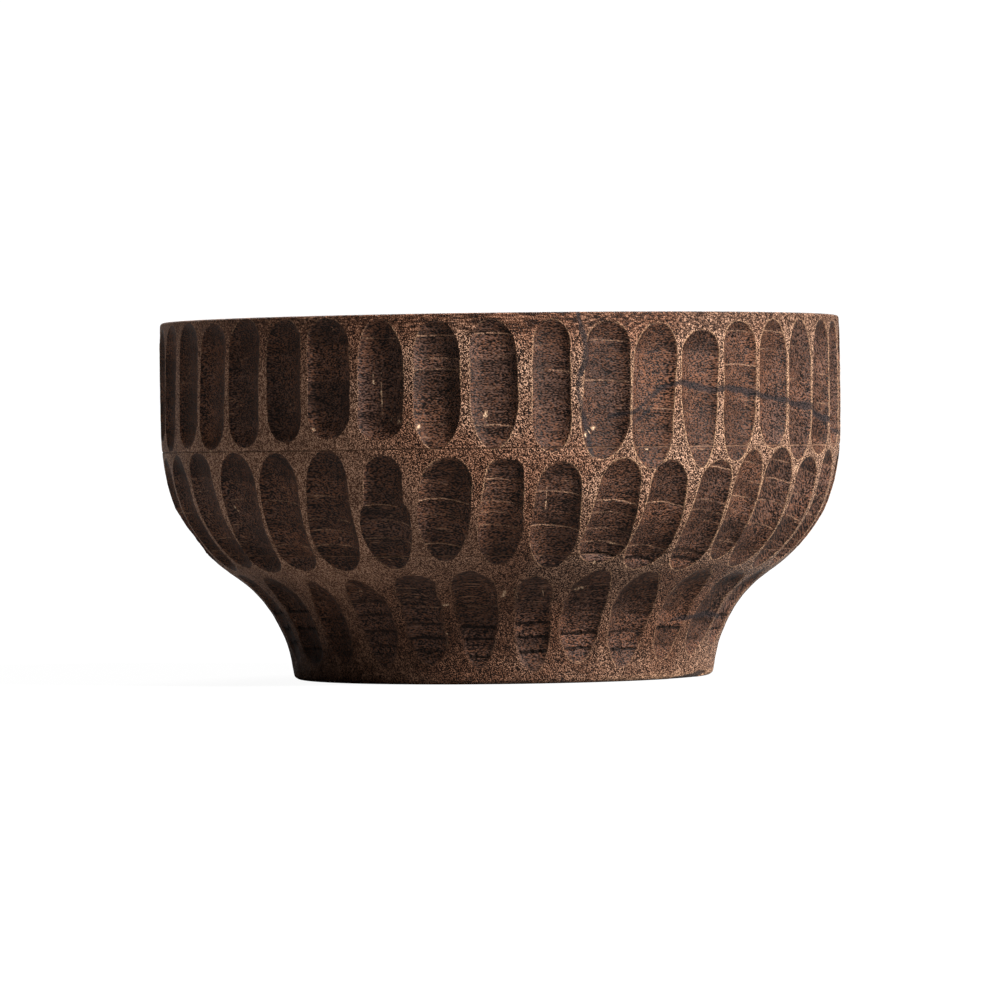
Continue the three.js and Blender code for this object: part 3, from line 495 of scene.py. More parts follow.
def build(name, outer_z, cols, tail, closed, cols_in):
    """outer_z: heights of the outer rows, bottom to top. tail: list of (r, z, zone) rings that carry on from the
    top row over the top and down the inside to the bottom row again, for the base by way of the floor's middle and
    the underside. closed: not used."""
    nrow = len(outer_z)
    th = np.broadcast_to(np.arange(cols) * 2 * math.pi / cols, (nrow, cols)).copy()
    z = np.broadcast_to(np.array(outer_z)[:, None], (nrow, cols)).copy()
    f = wall_fields(th, z)
    th = snap_columns(th, z, f)
    z = snap_rows(th, z, wall_fields(th, z))
    f = wall_fields(th, z)
    inside = np.clip(f["edge"] / 1.2, 0, 1)
    low = (f["who"] >= len(UPPER_SCOOPS) + len(MIDDLE_SCOOPS)) * np.clip((z - 30) / 8, 0, 1)     # torn tops of the lowest scoops
    ridge = np.clip(1 - (f["edge"] + 0.2) / 0.5, 0, 1)
    grit = (around(th, z, 1.9, 1.9, 5) * 0.6 + around(th, z, 3.7, 3.2, 6) * 0.4)
    cutn = around(th, z, 9.0, 5.0, 7) * 0.5 + around(th, z, 16.0, 1.6, 8) * 0.5
    wave = around(th, z, 60, 40, 9)
    torn = np.abs(around(th, z, 7.0, 1.7, 12)) * 0.6 + 0.4 * around(th, z, 2.6, 1.5, 13)
    rel = 0.15 * grit * ridge + inside * (0.10 * cutn + 0.34 * low * torn) + 0.12 * wave
    # radius: uncut wall, minus the cut, plus steps and grain relief; kept a hair inside the outer size
    fade = np.clip(f["depth"] / 0.7, 0, 1)
    r = r_out(z) - f["depth"] + f["step"] * fade / slope_cos(z) + rel - 0.12
    # rounded corners at the rim and at the foot, and small V edges at the glue lines
    if name.startswith("rim_board"):
        t = np.clip((z - (HEIGHT - 1.3)) / 1.3, 0, 1)
        r -= 1.3 * (1 - np.sqrt(np.clip(1 - t * t, 0, 1)))
    if name.startswith("base_board"):
        t = np.clip((1.8 - z) / 1.8, 0, 1)
        r -= 1.8 * (1 - np.sqrt(np.clip(1 - t * t, 0, 1)))
    for zj in (LOWER_JOINT, UPPER_JOINT):
        gap = np.abs(z - zj) - GLUE / 2
        nick = 0.65 + 0.35 * around(th, z * 0, 7.0, 5.0, 21 + int(zj))
        r -= np.clip(0.30 - gap, 0, 0.30) * (0.9 if zj == UPPER_JOINT else 0.35) * nick
    streak = np.full_like(th, 9.0)
    wob = around(th, z, 5.0, 5.0, 31) * 0.35 + around(th, z, 2.2, 2.2, 32) * 0.3
    for line in STREAKS:
        streak = np.minimum(streak, line_distance(th, z, line) + wob)
    near = np.full_like(th, 1e9)
    cu, cv, on = np.full_like(th, 9.0), np.full_like(th, 9.0), np.zeros_like(th)
    for a, zc, rx, rz, tilt in CHIPS:
        x = ((th - math.radians(a) + math.pi) % (2 * math.pi) - math.pi) * r_out(z)
        y = (z - zc) / slope_cos(z)
        c, s = math.cos(math.radians(tilt)), math.sin(math.radians(tilt))
        u, v = (x * c + y * s) / rx, (y * c - x * s) / rz
        d = np.hypot(u * rx, v * rz) - max(rx, rz)
        win = d < near
        near = np.where(win, d, near)
        cu, cv = np.where(win, np.clip(u, -9, 9), cu), np.where(win, np.clip(v, -9, 9), cv)
        on = np.where(win, (d < 2.2) * 1.0, on)
    tone = f["tone"]
    # mask of the side that faces the key light (+X), with slow noise, used to paint light and shade into the colours
    lit_side = np.clip(0.42 + 0.55 * np.sin(th - 0.15) + 0.25 * around(th, z, 55, 40, 41), 0, 1)
    seam = np.zeros_like(th)
    for zj in (LOWER_JOINT, UPPER_JOINT):
        seam = np.maximum(seam, np.clip(1 - (np.abs(z - zj) - GLUE / 2) / 0.30, 0, 1) * (1.0 if zj == UPPER_JOINT else 0.35))
    if name.startswith("base_board"):
        dent = np.clip(1 - np.maximum(line_distance(th, z, STREAKS[5]) + 0.2, 0) / 0.8, 0, 1)
        r -= 1.1 * dent * dent * (3 - 2 * dent)

    P = ring_xyz(th, r, z)
    verts = [P.reshape(-1, 3)]
    att = {"edge": [f["edge"].ravel()], "tone": [tone.ravel()], "streak": [streak.ravel()], "zone": [np.zeros(th.size)],
           "step_a": [f["la"].ravel()], "show_a": [f["sa"].ravel()], "step_b": [f["lb"].ravel()], "show_b": [f["sb"].ravel()],
           "chip_u": [cu.ravel()], "chip_v": [cv.ravel()], "chip_on": [on.ravel()], "lit_side": [lit_side.ravel()], "seam": [seam.ravel()],
           "low": [low.ravel()], "high": [z.ravel()]}
    tris, uvs = [], []

    def idx(j, i):
        return j * cols + i

    # outer wall: two triangles a cell, split along the flatter diagonal
    j = np.arange(nrow - 1)[:, None]
    i = np.arange(cols)[None, :]
    i2 = (i + 1) % cols
    a, b, c, d = idx(j, i), idx(j, i2), idx(j + 1, i2), idx(j + 1, i)
    e = f["edge"]
    flat = np.abs(r[:-1, :] - np.roll(r[1:, :], -1, 1)) <= np.abs(np.roll(r[:-1, :], -1, 1) - r[1:, :])
    t1 = np.where(flat[..., None], np.stack([a, b, c], -1), np.stack([a, b, d], -1))
    t2 = np.where(flat[..., None], np.stack([a, c, d], -1), np.stack([b, c, d], -1))
    q = cols // 4

    def uv_outer(jj, ii, cell_i):
        strip = cell_i // q
        u = (ii - strip * q) / q
        v = strip * 0.165 + 0.158 * jj / (nrow - 1)
        return np.stack([0.004 + u * 0.992, v + 0.003], -1)

    J, I = np.broadcast_to(j, a.shape), np.broadcast_to(i, a.shape)
    ua, ub, uc, ud = uv_outer(J, I, I), uv_outer(J, I + 1, I), uv_outer(J + 1, I + 1, I), uv_outer(J + 1, I, I)
    u1 = np.where(flat[..., None, None], np.stack([ua, ub, uc], -2), np.stack([ua, ub, ud], -2))
    u2 = np.where(flat[..., None, None], np.stack([ua, uc, ud], -2), np.stack([ub, uc, ud], -2))
    tris += [t1.reshape(-1, 3), t2.reshape(-1, 3)]
    uvs += [u1.reshape(-1, 3, 2), u2.reshape(-1, 3, 2)]

    # the rest: rings of cols_in vertices
    ratio = cols // cols_in
    tin = np.arange(cols_in) * 2 * math.pi / cols_in
    base = P.shape[0] * cols
    rings, nv = [], base
    for (rr, zz, zone) in tail:
        if callable(rr):
            rr = rr(tin)
        rr = np.broadcast_to(np.asarray(rr, float), tin.shape)
        if rr.max() < 1e-6:
            verts.append(np.array([[0, 0, zz]]))
            n = 1
        else:
            verts.append(ring_xyz(tin, rr, zz))
            n = cols_in
        rings.append((nv, n))
        nv += n
        plain = dict(edge=-6.0, tone=0.5, streak=9.0, zone=zone, step_a=9.0, step_b=9.0, chip_u=9.0, chip_v=9.0, lit_side=0.5, high=zz)
        for key in att:
            att[key].append(np.full(n, float(plain.get(key, 0.0))))
    top_row = (nrow - 1) * cols

    total = len(rings) + 1
    qi = cols_in // 4

    def uv_in(level, ii, cell_i):
        strip = cell_i // qi
        u = (ii - strip * qi) / qi
        return np.stack([0.004 + u * 0.992, 0.672 + strip * 0.081 + 0.077 * level / total + 0 * u], -1)

    def fan(dense_row, ring, level, down):
        """a dense row of cols vertices joined to a coarse ring of cols_in."""
        for m in range(ratio):
            ii = np.arange(cols_in) * ratio + m
            c0 = ring + (np.arange(cols_in) if m < ratio // 2 else (np.arange(cols_in) + 1) % cols_in)
            A, B = dense_row + ii % cols, dense_row + (ii + 1) % cols
            t = np.stack([A, B, c0], -1)
            cell = np.arange(cols_in)
            uvA = uv_in(level, cell + m / ratio, cell)
            uvB = uv_in(level, cell + (m + 1) / ratio, cell)
            uvC = uv_in(level + 1, cell + (0.0 if m < ratio // 2 else 1.0), cell)
            u = np.stack([uvA, uvB, uvC], -2)
            if down:
                t, u = t[:, ::-1], u[:, ::-1]
            tris.append(t); uvs.append(u)
        cell = np.arange(cols_in)
        mid = dense_row + (cell * ratio + ratio // 2) % cols
        t = np.stack([ring + cell, mid, ring + (cell + 1) % cols_in], -1)
        u = np.stack([uv_in(level + 1, cell * 1.0, cell), uv_in(level, cell + 0.5, cell), uv_in(level + 1, cell + 1.0, cell)], -2)
        if down:
            t, u = t[:, ::-1], u[:, ::-1]
        tris.append(t); uvs.append(u)

    def band(r0, r1, level):
        cell = np.arange(cols_in)
        n0 = (cell + 1) % cols_in
        (b0, c0), (b1, c1) = r0, r1
        if c0 == 1:
            t = np.stack([np.full(cols_in, b0), b1 + n0, b1 + cell], -1)
            u = np.stack([uv_in(level, cell + 0.5, cell), uv_in(level + 1, cell + 1.0, cell), uv_in(level + 1, cell * 1.0, cell)], -2)
            tris.append(t); uvs.append(u); return
        if c1 == 1:
            t = np.stack([b0 + cell, b0 + n0, np.full(cols_in, b1)], -1)
            u = np.stack([uv_in(level, cell * 1.0, cell), uv_in(level, cell + 1.0, cell), uv_in(level + 1, cell + 0.5, cell)], -2)
            tris.append(t); uvs.append(u); return
        A, B, C, Dd = b0 + cell, b0 + n0, b1 + n0, b1 + cell
        ua, ub, uc, ud = uv_in(level, cell * 1.0, cell), uv_in(level, cell + 1.0, cell), uv_in(level + 1, cell + 1.0, cell), uv_in(level + 1, cell * 1.0, cell)
        tris.append(np.stack([A, B, C], -1)); uvs.append(np.stack([ua, ub, uc], -2))
        tris.append(np.stack([A, C, Dd], -1)); uvs.append(np.stack([ua, uc, ud], -2))

    fan(top_row, rings[0][0], 0, False)
    for n in range(len(rings) - 1):
        band(rings[n], rings[n + 1], n + 1)
    fan(0, rings[-1][0], len(rings) - 1, True)
    V = np.concatenate(verts) * 0.001
    T = np.concatenate(tris)
    U = np.concatenate(uvs)
    return make(name, V, T, U, {k: np.concatenate(v) for k, v in att.items()}, sharp=21.0)


def make(name, V, T, U, att, sharp=25.0):
    me = bpy.data.meshes.new(name)
    me.vertices.add(len(V))
    me.vertices.foreach_set("co", V.astype(np.float32).ravel())
    me.loops.add(len(T) * 3)
    me.loops.foreach_set("vertex_index", T.astype(np.int32).ravel())
    me.polygons.add(len(T))
    me.polygons.foreach_set("loop_start", (np.arange(len(T)) * 3).astype(np.int32))
    me.polygons.foreach_set("loop_total", np.full(len(T), 3, np.int32))
    me.update(calc_edges=True)
    me.validate()
    me.polygons.foreach_set("use_smooth", np.ones(len(me.polygons), bool))
    for key, val in att.items():
        a = me.attributes.new(key, "FLOAT", "POINT")
        a.data.foreach_set("value", val.astype(np.float32))
    uv = me.uv_layers.new(name="OFBake")
    uv.data.foreach_set("uv", U.reshape(-1, 2).astype(np.float32).ravel())
    # sharp edges where two faces meet at more than `sharp` degrees
    A, B, C = V[T[:, 0]], V[T[:, 1]], V[T[:, 2]]
    N = np.cross(B - A, C - A)
    N /= np.maximum(np.linalg.norm(N, axis=1, keepdims=True), 1e-12)
    ne = len(me.edges)
    le = np.empty(len(T) * 3, np.int32)
    me.loops.foreach_get("edge_index", le)
    face = np.repeat(np.arange(len(T)), 3)
    order = np.argsort(le, kind="stable")
    le_s, f_s = le[order], face[order]
    first = np.searchsorted(le_s, np.arange(ne))
    n0 = N[f_s[first]]
    n1 = N[f_s[np.minimum(first + 1, len(f_s) - 1)]]
    sharp_mask = (n0 * n1).sum(1) < math.cos(math.radians(sharp))
    at = me.attributes.new("sharp_edge", "BOOLEAN", "EDGE")
    at.data.foreach_set("value", sharp_mask)
    me.update()
    ob = bpy.data.objects.new(name, me)
    bpy.context.scene.collection.objects.link(ob)
    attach(ob, "root")
    return ob


EPS = GLUE / 2
IZ, IR = smooth_curve(sorted(IN_Z), [r for _, r in sorted(zip(IN_Z, IN_R))])


def r_in(z):
    return float(np.interp(z, IZ, IR))


def inner_rings(z_top, z_bot, pitch, zone=1.0):
    """rings of the inside between two heights, top to bottom, by distance along the curve."""
    zz = np.linspace(z_top, z_bot, 1500)
    rr = np.interp(zz, IZ, IR)
    s = np.concatenate([[0], np.cumsum(np.hypot(np.diff(zz), np.diff(rr)))])
    n = max(2, int(round(s[-1] / pitch)))
    out = []
    for t in np.linspace(0, s[-1], n + 1):
        z = float(np.interp(t, s, zz))
        out.append((r_in(z) + 0.05 * math.sin(z * 2.1) * (z > 24), z, zone))
    return out


def rim_tail():
    t = []
    # over the rounded outer corner the wall has already turned in 1.3 mm, so the flat top starts there
    t += [(r_out(HEIGHT) - 2.2, HEIGHT - 0.01, 0.5), (146.0, HEIGHT, 0.5), (144.0, HEIGHT, 0.5), (142.0, HEIGHT, 0.5), (140.0, HEIGHT, 0.5), (138.2, HEIGHT, 0.5)]
    for k in range(1, 6):
        a = k / 6 * math.pi / 2
        t.append((138.2 - 1.8 * math.sin(a), HEIGHT - 1.8 * (1 - math.cos(a)), 0.5 + 0.08 * k))
    t += inner_rings(HEIGHT - 1.8, UPPER_JOINT + EPS + 0.2, 2.2)
    t.append((r_in(UPPER_JOINT + EPS) + 0.15, UPPER_JOINT + EPS, 1.0))
    return t


def middle_tail():
    t = [(r_in(UPPER_JOINT - EPS) + 0.15, UPPER_JOINT - EPS, 1.0)]
    t += inner_rings(UPPER_JOINT - EPS - 0.2, LOWER_JOINT + EPS + 0.2, 2.2)
    t.append((r_in(LOWER_JOINT + EPS) + 0.15, LOWER_JOINT + EPS, 1.0))
    return t


def base_tail():
    t = [(r_in(LOWER_JOINT - EPS) + 0.15, LOWER_JOINT - EPS, 1.0)]
    rings = inner_rings(LOWER_JOINT - EPS - 0.2, 21.0, 3.2)
    t += rings[:-1]
    t.append((0.0, 21.0, 1.0))
    t += [(0.0, 0.0, 0.7)]
    t += [(r, 0.0, 0.7) for r in (12.0, 26.0, 40.0, 54.0, 66.0, 76.0, 84.0, 88.2)]
    return t


def rows_with_joints(z0, z1, pitch, lo, hi):
    zz = list(arc_rows(z0, z1, pitch))
    extra = []
    if lo:
        extra += [z0 + 0.3]
    if hi:
        extra += [z1 - 0.3]
    zz = sorted([z for z in zz if not (lo and z0 < z < z0 + 0.6) and not (hi and z1 - 0.6 < z < z1)] + extra)
    return zz


COLS, PITCH = 1320, 0.98
top_z = list(rows_with_joints(UPPER_JOINT + EPS, HEIGHT - 1.3, PITCH, True, False))
top_z += [HEIGHT - 1.3 + 1.3 * math.sin(math.radians(a)) for a in (20, 40, 58, 74, 88)]
mid_z = rows_with_joints(LOWER_JOINT + EPS, UPPER_JOINT - EPS, PITCH, True, True)
base_z = [1.8 - 1.8 * math.sin(math.radians(a)) for a in (90, 66, 44, 22)] + list(rows_with_joints(1.8, LOWER_JOINT - EPS, PITCH * 1.25, False, True))

rim = build("rim_board_carved", top_z, COLS, rim_tail(), True, COLS // 4)
middle = build("middle_board_carved", mid_z, COLS, middle_tail(), True, COLS // 4)
base = build("base_board_carved", base_z, COLS, base_tail(), True, COLS // 4)


def glue_ring(name, zj, cols=1400):
    th = np.broadcast_to(np.arange(cols) * 2 * math.pi / cols, (1, cols)).copy()
    z = np.full_like(th, zj)
    f = wall_fields(th, z)
    ro = (r_out(z) - f["depth"] - 0.36)[0]
    ri = np.full(cols, r_in(zj) + 0.35)
    t = th[0]
    V = np.concatenate([ring_xyz(t, ro, zj - EPS), ring_xyz(t, ro, zj + EPS), ring_xyz(t, ri, zj + EPS), ring_xyz(t, ri, zj - EPS)]) * 0.001
    T, U = [], []
    i = np.arange(cols); n = (i + 1) % cols
    for k in range(4):
        a, b = k * cols, ((k + 1) % 4) * cols
        T += [np.stack([a + i, a + n, b + n], -1), np.stack([a + i, b + n, b + i], -1)]
        u0, u1 = i / cols, (i + 1) / cols
        v0, v1 = k * 0.25 + 0.01, k * 0.25 + 0.24
        U += [np.stack([np.stack([u0, 0 * u0 + v0], -1), np.stack([u1, 0 * u0 + v0], -1), np.stack([u1, 0 * u0 + v1], -1)], -2),
              np.stack([np.stack([u0, 0 * u0 + v0], -1), np.stack([u1, 0 * u0 + v1], -1), np.stack([u0, 0 * u0 + v1], -1)], -2)]
    return make(name, V, np.concatenate(T), np.concatenate(U), {})


glue_u = glue_ring("glue_upper_film", UPPER_JOINT)
glue_l = glue_ring("glue_lower_film", LOWER_JOINT)
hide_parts("rim_board")
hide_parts("middle_board")
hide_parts("base_board")
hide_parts("glue_line_upper")
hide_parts("glue_line_lower")


# ---------------------------------------------------------------- materials
class Nodes:
    def __init__(self, name):
        self.mat = bpy.data.materials.new(name)
        self.mat.use_nodes = True
        self.t = self.mat.node_tree
        self.t.nodes.clear()
        self.x = 0

    def add(self, kind, **props):
        n = self.t.nodes.new(kind)
        n.location = (self.x, 0)
        self.x += 30
        for k, v in props.items():
            setattr(n, k, v)
        return n

    def put(self, sock, v):
        if isinstance(v, bpy.types.NodeSocket):
            self.t.links.new(v, sock)
        elif isinstance(v, (tuple, list)) and len(v) == 3 and sock.type == "RGBA":
            sock.default_value = (*v, 1.0)
        else:
            sock.default_value = v

    def math(self, op, a, b=None, c=None, clamp=False):
        n = self.add("ShaderNodeMath", operation=op, use_clamp=clamp)
        self.put(n.inputs[0], a)
        if b is not None:
            self.put(n.inputs[1], b)
        if c is not None:
            self.put(n.inputs[2], c)
        return n.outputs[0]

    def ramp(self, v, lo, hi, a=0.0, b=1.0, smooth=True):
        n = self.add("ShaderNodeMapRange", interpolation_type="SMOOTHSTEP" if smooth else "LINEAR")
        n.clamp = True
        self.put(n.inputs["Value"], v)
        self.put(n.inputs["From Min"], lo)
        self.put(n.inputs["From Max"], hi)
        self.put(n.inputs["To Min"], a)
        self.put(n.inputs["To Max"], b)
        return n.outputs["Result"]

    def mix(self, f, a, b, blend="MIX"):
        n = self.add("ShaderNodeMix", data_type="RGBA", blend_type=blend)
        n.clamp_factor = True
        self.put(n.inputs["Factor"], f)
        self.put(n.inputs[6], a)
        self.put(n.inputs[7], b)
        return n.outputs[2]

    def att(self, name):
        return self.add("ShaderNodeAttribute", attribute_name=name).outputs["Fac"]

    def coords(self, scale, rot=(0, 0, 0), loc=(0, 0, 0), kind="POINT"):
        tc = self.add("ShaderNodeTexCoord")
        mp = self.add("ShaderNodeMapping", vector_type=kind)
        self.t.links.new(tc.outputs["Object"], mp.inputs["Vector"])
        mp.inputs["Scale"].default_value = scale
        mp.inputs["Rotation"].default_value = rot
        mp.inputs["Location"].default_value = loc
        return mp.outputs["Vector"]

    def noise(self, vec, scale, detail=4.0, rough=0.55, dist=0.0, out="Fac"):
        n = self.add("ShaderNodeTexNoise")
        self.put(n.inputs["Vector"], vec)
        n.inputs["Scale"].default_value = scale
        n.inputs["Detail"].default_value = detail
        n.inputs["Roughness"].default_value = rough
        n.inputs["Distortion"].default_value = dist
        return n.outputs[out]

    def voronoi(self, vec, scale, rand=1.0, feature="F1"):
        n = self.add("ShaderNodeTexVoronoi", feature=feature)
        self.put(n.inputs["Vector"], vec)
        n.inputs["Scale"].default_value = scale
        n.inputs["Randomness"].default_value = rand
        return n.outputs["Distance"]


def wood(name, offset, tint):
    N = Nodes(name)
    ox, oy, oz = offset
    A, M, S, MX, R = (lambda a, b: N.math("ADD", a, b)), (lambda a, b: N.math("MULTIPLY", a, b)), (lambda a, b: N.math("SUBTRACT", a, b)), N.mix, N.ramp
    # object coordinates are metres; every scale below is cells per metre
    iso = N.coords((1, 1, 1), loc=(ox, oy, oz))
    short = N.coords((0.42, 1, 1), rot=(0.03, 0.02, 0.04), loc=(oy, ox, oz))        # fibres cut short
    hatch = N.coords((1, 7.0, 1), rot=(-0.46, 0.0, 0.0), loc=(ox, oz, oy), kind="TEXTURE")          # end grain combed by the gouge
    grain = N.coords((0.06, 1, 1), rot=(0.03, 0.02, 0.04), loc=(oy, oz, ox))        # long along the boards' grain, X
    longg = N.coords((0.02, 1, 1), rot=(0.02, 0.03, 0.02), loc=(oz, ox, oy))

    # the side mask read here faces the key light; through it, light and shade are painted into the colours below
    edge, tone, zone, lit_side, seam = N.att("edge"), N.att("tone"), N.att("zone"), N.att("lit_side"), N.att("seam")
    streak, low = N.att("streak"), N.att("low")

    fine = N.noise(short, 2150, 0, 0.5)
    comb = N.noise(hatch, 1650, 0, 0.5)
    hue = N.noise(iso, 1150, 0, 0.5)
    fib = N.noise(grain, 1250, 1, 0.5)            # hair-fine fibres
    fib2 = N.noise(grain, 420, 3, 0.55)           # bundles
    band = N.noise(longg, 210, 3, 0.5, 0.3)       # growth bands
    patch = N.noise(iso, 26, 2, 0.55)
    blotch = N.noise(iso, 110, 3, 0.6)
    speck = N.noise(iso, 2000, 0, 0.5)
    clump = N.noise(iso, 860, 1, 0.5)

    # --- the cut faces: dark, short level fibres, darker and lighter from one step to the next
    def blend(f, a, b):
        n = N.add("ShaderNodeMix", data_type="FLOAT")
        N.put(n.inputs[0], f); N.put(n.inputs[2], a); N.put(n.inputs[3], b)
        return n.outputs[0]
    combed = R(A(lit_side, M(S(patch, 0.5), 1.2)), 0.68, 0.90)
    k = blend(combed, A(M(fine, 0.50), M(fib, 0.28)), A(M(fine, 0.24), M(comb, 0.54)))
    k = A(k, A(M(fib2, 0.14), M(blotch, 0.08)))
    k = R(k, 0.430, 0.590, 0, 1, False)
    cut = MX(k, tint["cut_dark"], tint["cut_light"])
    cut = MX(M(R(A(M(hue, 0.6), M(patch, 0.4)), 0.44, 0.56), 0.85), cut, MX(k, tint["cut_dark"], tint["cut_grey"]))
    # darkening by random tone per stretch and by growth bands, and painted shade on each scoop's top cap through its
    # low tone
    shade = A(M(S(1.0, tone), 0.46), M(R(band, 0.35, 0.65), 0.20))
    cut = MX(M(shade, S(1.0, M(low, 0.3))), cut, tint["cut_dark"])
    # fibres torn up by the gouge, sparse, most in the tops of the lowest scoops
    torn = M(R(fib, 0.60, 0.72), A(R(blotch, 0.54, 0.70), M(low, 0.7)))
    cut = MX(M(torn, 0.7), cut, tint["tan"])
    # the steps: a thin pale lip, rubbed wood with a painted highlight, or a nick painted dark as its shadow
    for d, s in (("step_a", "show_a"), ("step_b", "show_b")):
        dist, show = N.att(d), N.att(s)
        w = A(dist, M(S(clump, 0.5), 0.5))
        lip = M(R(N.math("ABSOLUTE", w), 0.06, 0.40, 1, 0), R(A(show, M(S(blotch, 0.5), 2.0)), 0.20, 1.00))
        cut = MX(M(lip, 0.85), cut, MX(R(A(speck, M(show, 0.16)), 0.48, 0.68), tint["lip_low"], tint["lip"]))
        # painted shadow: a dark line under each step that shows below 0
        nick = M(R(N.math("ABSOLUTE", A(w, 0.35)), 0.25, 1.0, 1, 0), R(M(show, -1.0), 0.10, 0.70))
        cut = MX(M(nick, 0.85), cut, tint["pit"])

    # --- the uncut ridges: coarse grains, black pits to tan
    high = N.att("high")
    g = blend(R(high, 147.0, 150.5), A(M(speck, 0.66), M(clump, 0.34)), A(A(M(fib, 0.45), M(speck, 0.28)), 0.130))
    g = R(g, 0.430, 0.610, 0, 1, False)
    lowz = R(high, 22.0, 57.0, 1, 0)
    # lit and shaded copies of the ridge colours: lighter tan towards the key light, darker red-brown away from it,
    # broken by random patches
    lit_side_tan = R(A(lit_side, M(S(patch, 0.5), 2.2)), 0.15, 0.75)
    rid = MX(R(g, 0.0, 0.5, 0, 1, False), tint["ridge_dark"], MX(lit_side_tan, tint["ridge_red"], tint["ridge_mid"]))
    rid = MX(R(g, 0.5, 1.0, 0, 1, False), rid, MX(lit_side_tan, tint["ridge_warm"], tint["ridge_light"]))
    # painted fill light: ridges made lighter on the side turned away from the key light
    painted_fill = R(lit_side, 0.02, 0.24, 1, 0)
    rid = MX(M(painted_fill, 0.75), rid, MX(g, tint["ridge_red"], tint["ridge_light"]))
    # painted shade: ridges darker towards the bottom, less so on the lit +X side; also random dark blotches, and darker
    # towards the rim
    shade_and_stain = A(M(lowz, M(R(lit_side, 0.5, 0.95, 1.0, 0.35), 0.60)), A(M(R(blotch, 0.42, 0.62), 0.28), M(R(high, 148.0, 156.0), 0.22)))
    rid = MX(shade_and_stain, rid, MX(g, tint["ridge_dark"], tint["ridge_red"]))

    # --- edge between them, with a pale arris: rubbed wood, with a painted highlight that grows towards the lit +X side and fades low down
    e = A(edge, A(M(S(clump, 0.5), 0.9), A(M(M(S(blotch, 0.5), 5.0), low), M(M(S(blotch, 0.5), 2.6), lowz))))
    incut = R(e, A(-0.16, M(lowz, -0.9)), A(0.20, M(lowz, 1.1)))
    col = MX(incut, rid, cut)
    arris = M(R(N.math("ABSOLUTE", A(e, 0.08)), 0.08, 0.50, 1, 0), R(A(lit_side, M(S(blotch, 0.5), 2.2)), 0.00, 0.90))
    arris = M(arris, S(1.0, M(lowz, 0.6)))
    col = MX(M(arris, 0.80), col, MX(R(speck, 0.40, 0.56), tint["ridge_mid"], tint["arris"]))
    # the glue seams: dark, turned pale on the lit +X side as a painted highlight
    seamc = M(M(seam, R(A(blotch, M(S(1.0, incut), 0.08)), 0.44, 0.60)), 0.45)
    col = MX(seamc, col, MX(R(lit_side, 0.50, 0.85), tint["pit"], tint["ridge_light"]))

    # --- foot: pale along its lower corner on the lit +X side only, a painted highlight
    foot = M(R(A(high, M(S(blotch, 0.5), 5.0)), 1.2, 3.8, 1, 0), R(lit_side, 0.50, 0.90))
    foot = M(foot, R(zone, 0.0, 0.2, 1, 0))
    col = MX(M(foot, 0.7), col, MX(g, tint["ridge_mid"], tint["arris"]))

    # --- smooth inside and underside
    sm = R(A(A(M(fib, 0.44), M(fib2, 0.24)), A(M(band, 0.22), M(speck, 0.10))), 0.37, 0.62, 0, 1, False)
    smooth_c = MX(sm, tint["in_dark"], tint["in_light"])
    smooth_c = MX(M(R(N.voronoi(grain, 900), 0.0, 0.16, 1, 0), 0.4), smooth_c, tint["pit"])
    rimtop = MX(R(clump, 0.42, 0.6, 0.2, 0.7), smooth_c, rid)
    smooth_c = MX(R(zone, 0.55, 0.9), rimtop, smooth_c)
    col = MX(R(zone, 0.1, 0.5), col, smooth_c)

    # --- mineral streaks and chips
    col = MX(M(R(A(streak, M(S(clump, 0.5), 1.0)), -0.35, 0.85, 1, 0), 0.84), col, MX(k, tint["streak"], tint["streak_l"]))
    cu, cv = N.att("chip_u"), N.att("chip_v")
    rad = N.math("SQRT", A(M(cu, cu), M(cv, cv)))
    rad = A(rad, A(M(S(clump, 0.5), 2.4), M(S(speck, 0.5), 1.4)))
    chip = M(R(rad, 0.25, 0.75, 1, 0), N.att("chip_on"))
    col = MX(M(chip, 0.85), col, MX(R(speck, 0.42, 0.56), tint["tan"], tint["chip"]))

    # --- relief
    h = blend(incut, A(M(speck, 0.7), M(clump, 0.6)), A(M(fine, 0.50), M(fib, 0.35)))
    h = blend(R(zone, 0.1, 0.5), h, M(fib, 0.2))
    bump = N.add("ShaderNodeBump")
    bump.inputs["Strength"].default_value = 1.0
    bump.inputs["Distance"].default_value = 0.0006
    N.put(bump.inputs["Height"], h)

    b = N.add("ShaderNodeBsdfPrincipled")
    N.put(b.inputs["Base Color"], col)
    N.put(b.inputs["Roughness"], R(k, 0, 1, 0.55, 0.74, False))
    b.inputs["Specular IOR Level"].default_value = 0.08
    N.put(b.inputs["Normal"], bump.outputs["Normal"])
    out = N.add("ShaderNodeOutputMaterial")
    N.t.links.new(b.outputs[0], out.inputs[0])
    return N.mat


TINT = dict(cut_dark=(0.0030, 0.0010, 0.0004), cut_light=(0.125, 0.052, 0.028), cut_grey=(0.094, 0.052, 0.039),
            tan=(0.17, 0.092, 0.055), lip=(0.22, 0.125, 0.075), lip_low=(0.075, 0.038, 0.023),
            ridge_dark=(0.0060, 0.0018, 0.0005), ridge_mid=(0.080, 0.040, 0.024), ridge_red=(0.066, 0.026, 0.013),
            ridge_light=(0.325, 0.190, 0.124), ridge_warm=(0.225, 0.110, 0.066), arris=(0.290, 0.170, 0.098),
            pit=(0.0035, 0.0015, 0.0008), in_dark=(0.010, 0.0048, 0.0028), in_light=(0.050, 0.026, 0.016),
            streak=(0.0024, 0.0022, 0.0026), streak_l=(0.019, 0.0135, 0.0135), chip=(0.46, 0.32, 0.20))
rim.data.materials.append(wood("rim_wood", (0.0, 0.0, 0.0), TINT))
middle.data.materials.append(wood("middle_wood", (0.31, 0.17, 0.23), TINT))
base.data.materials.append(wood("base_wood", (0.67, 0.41, 0.53), TINT))

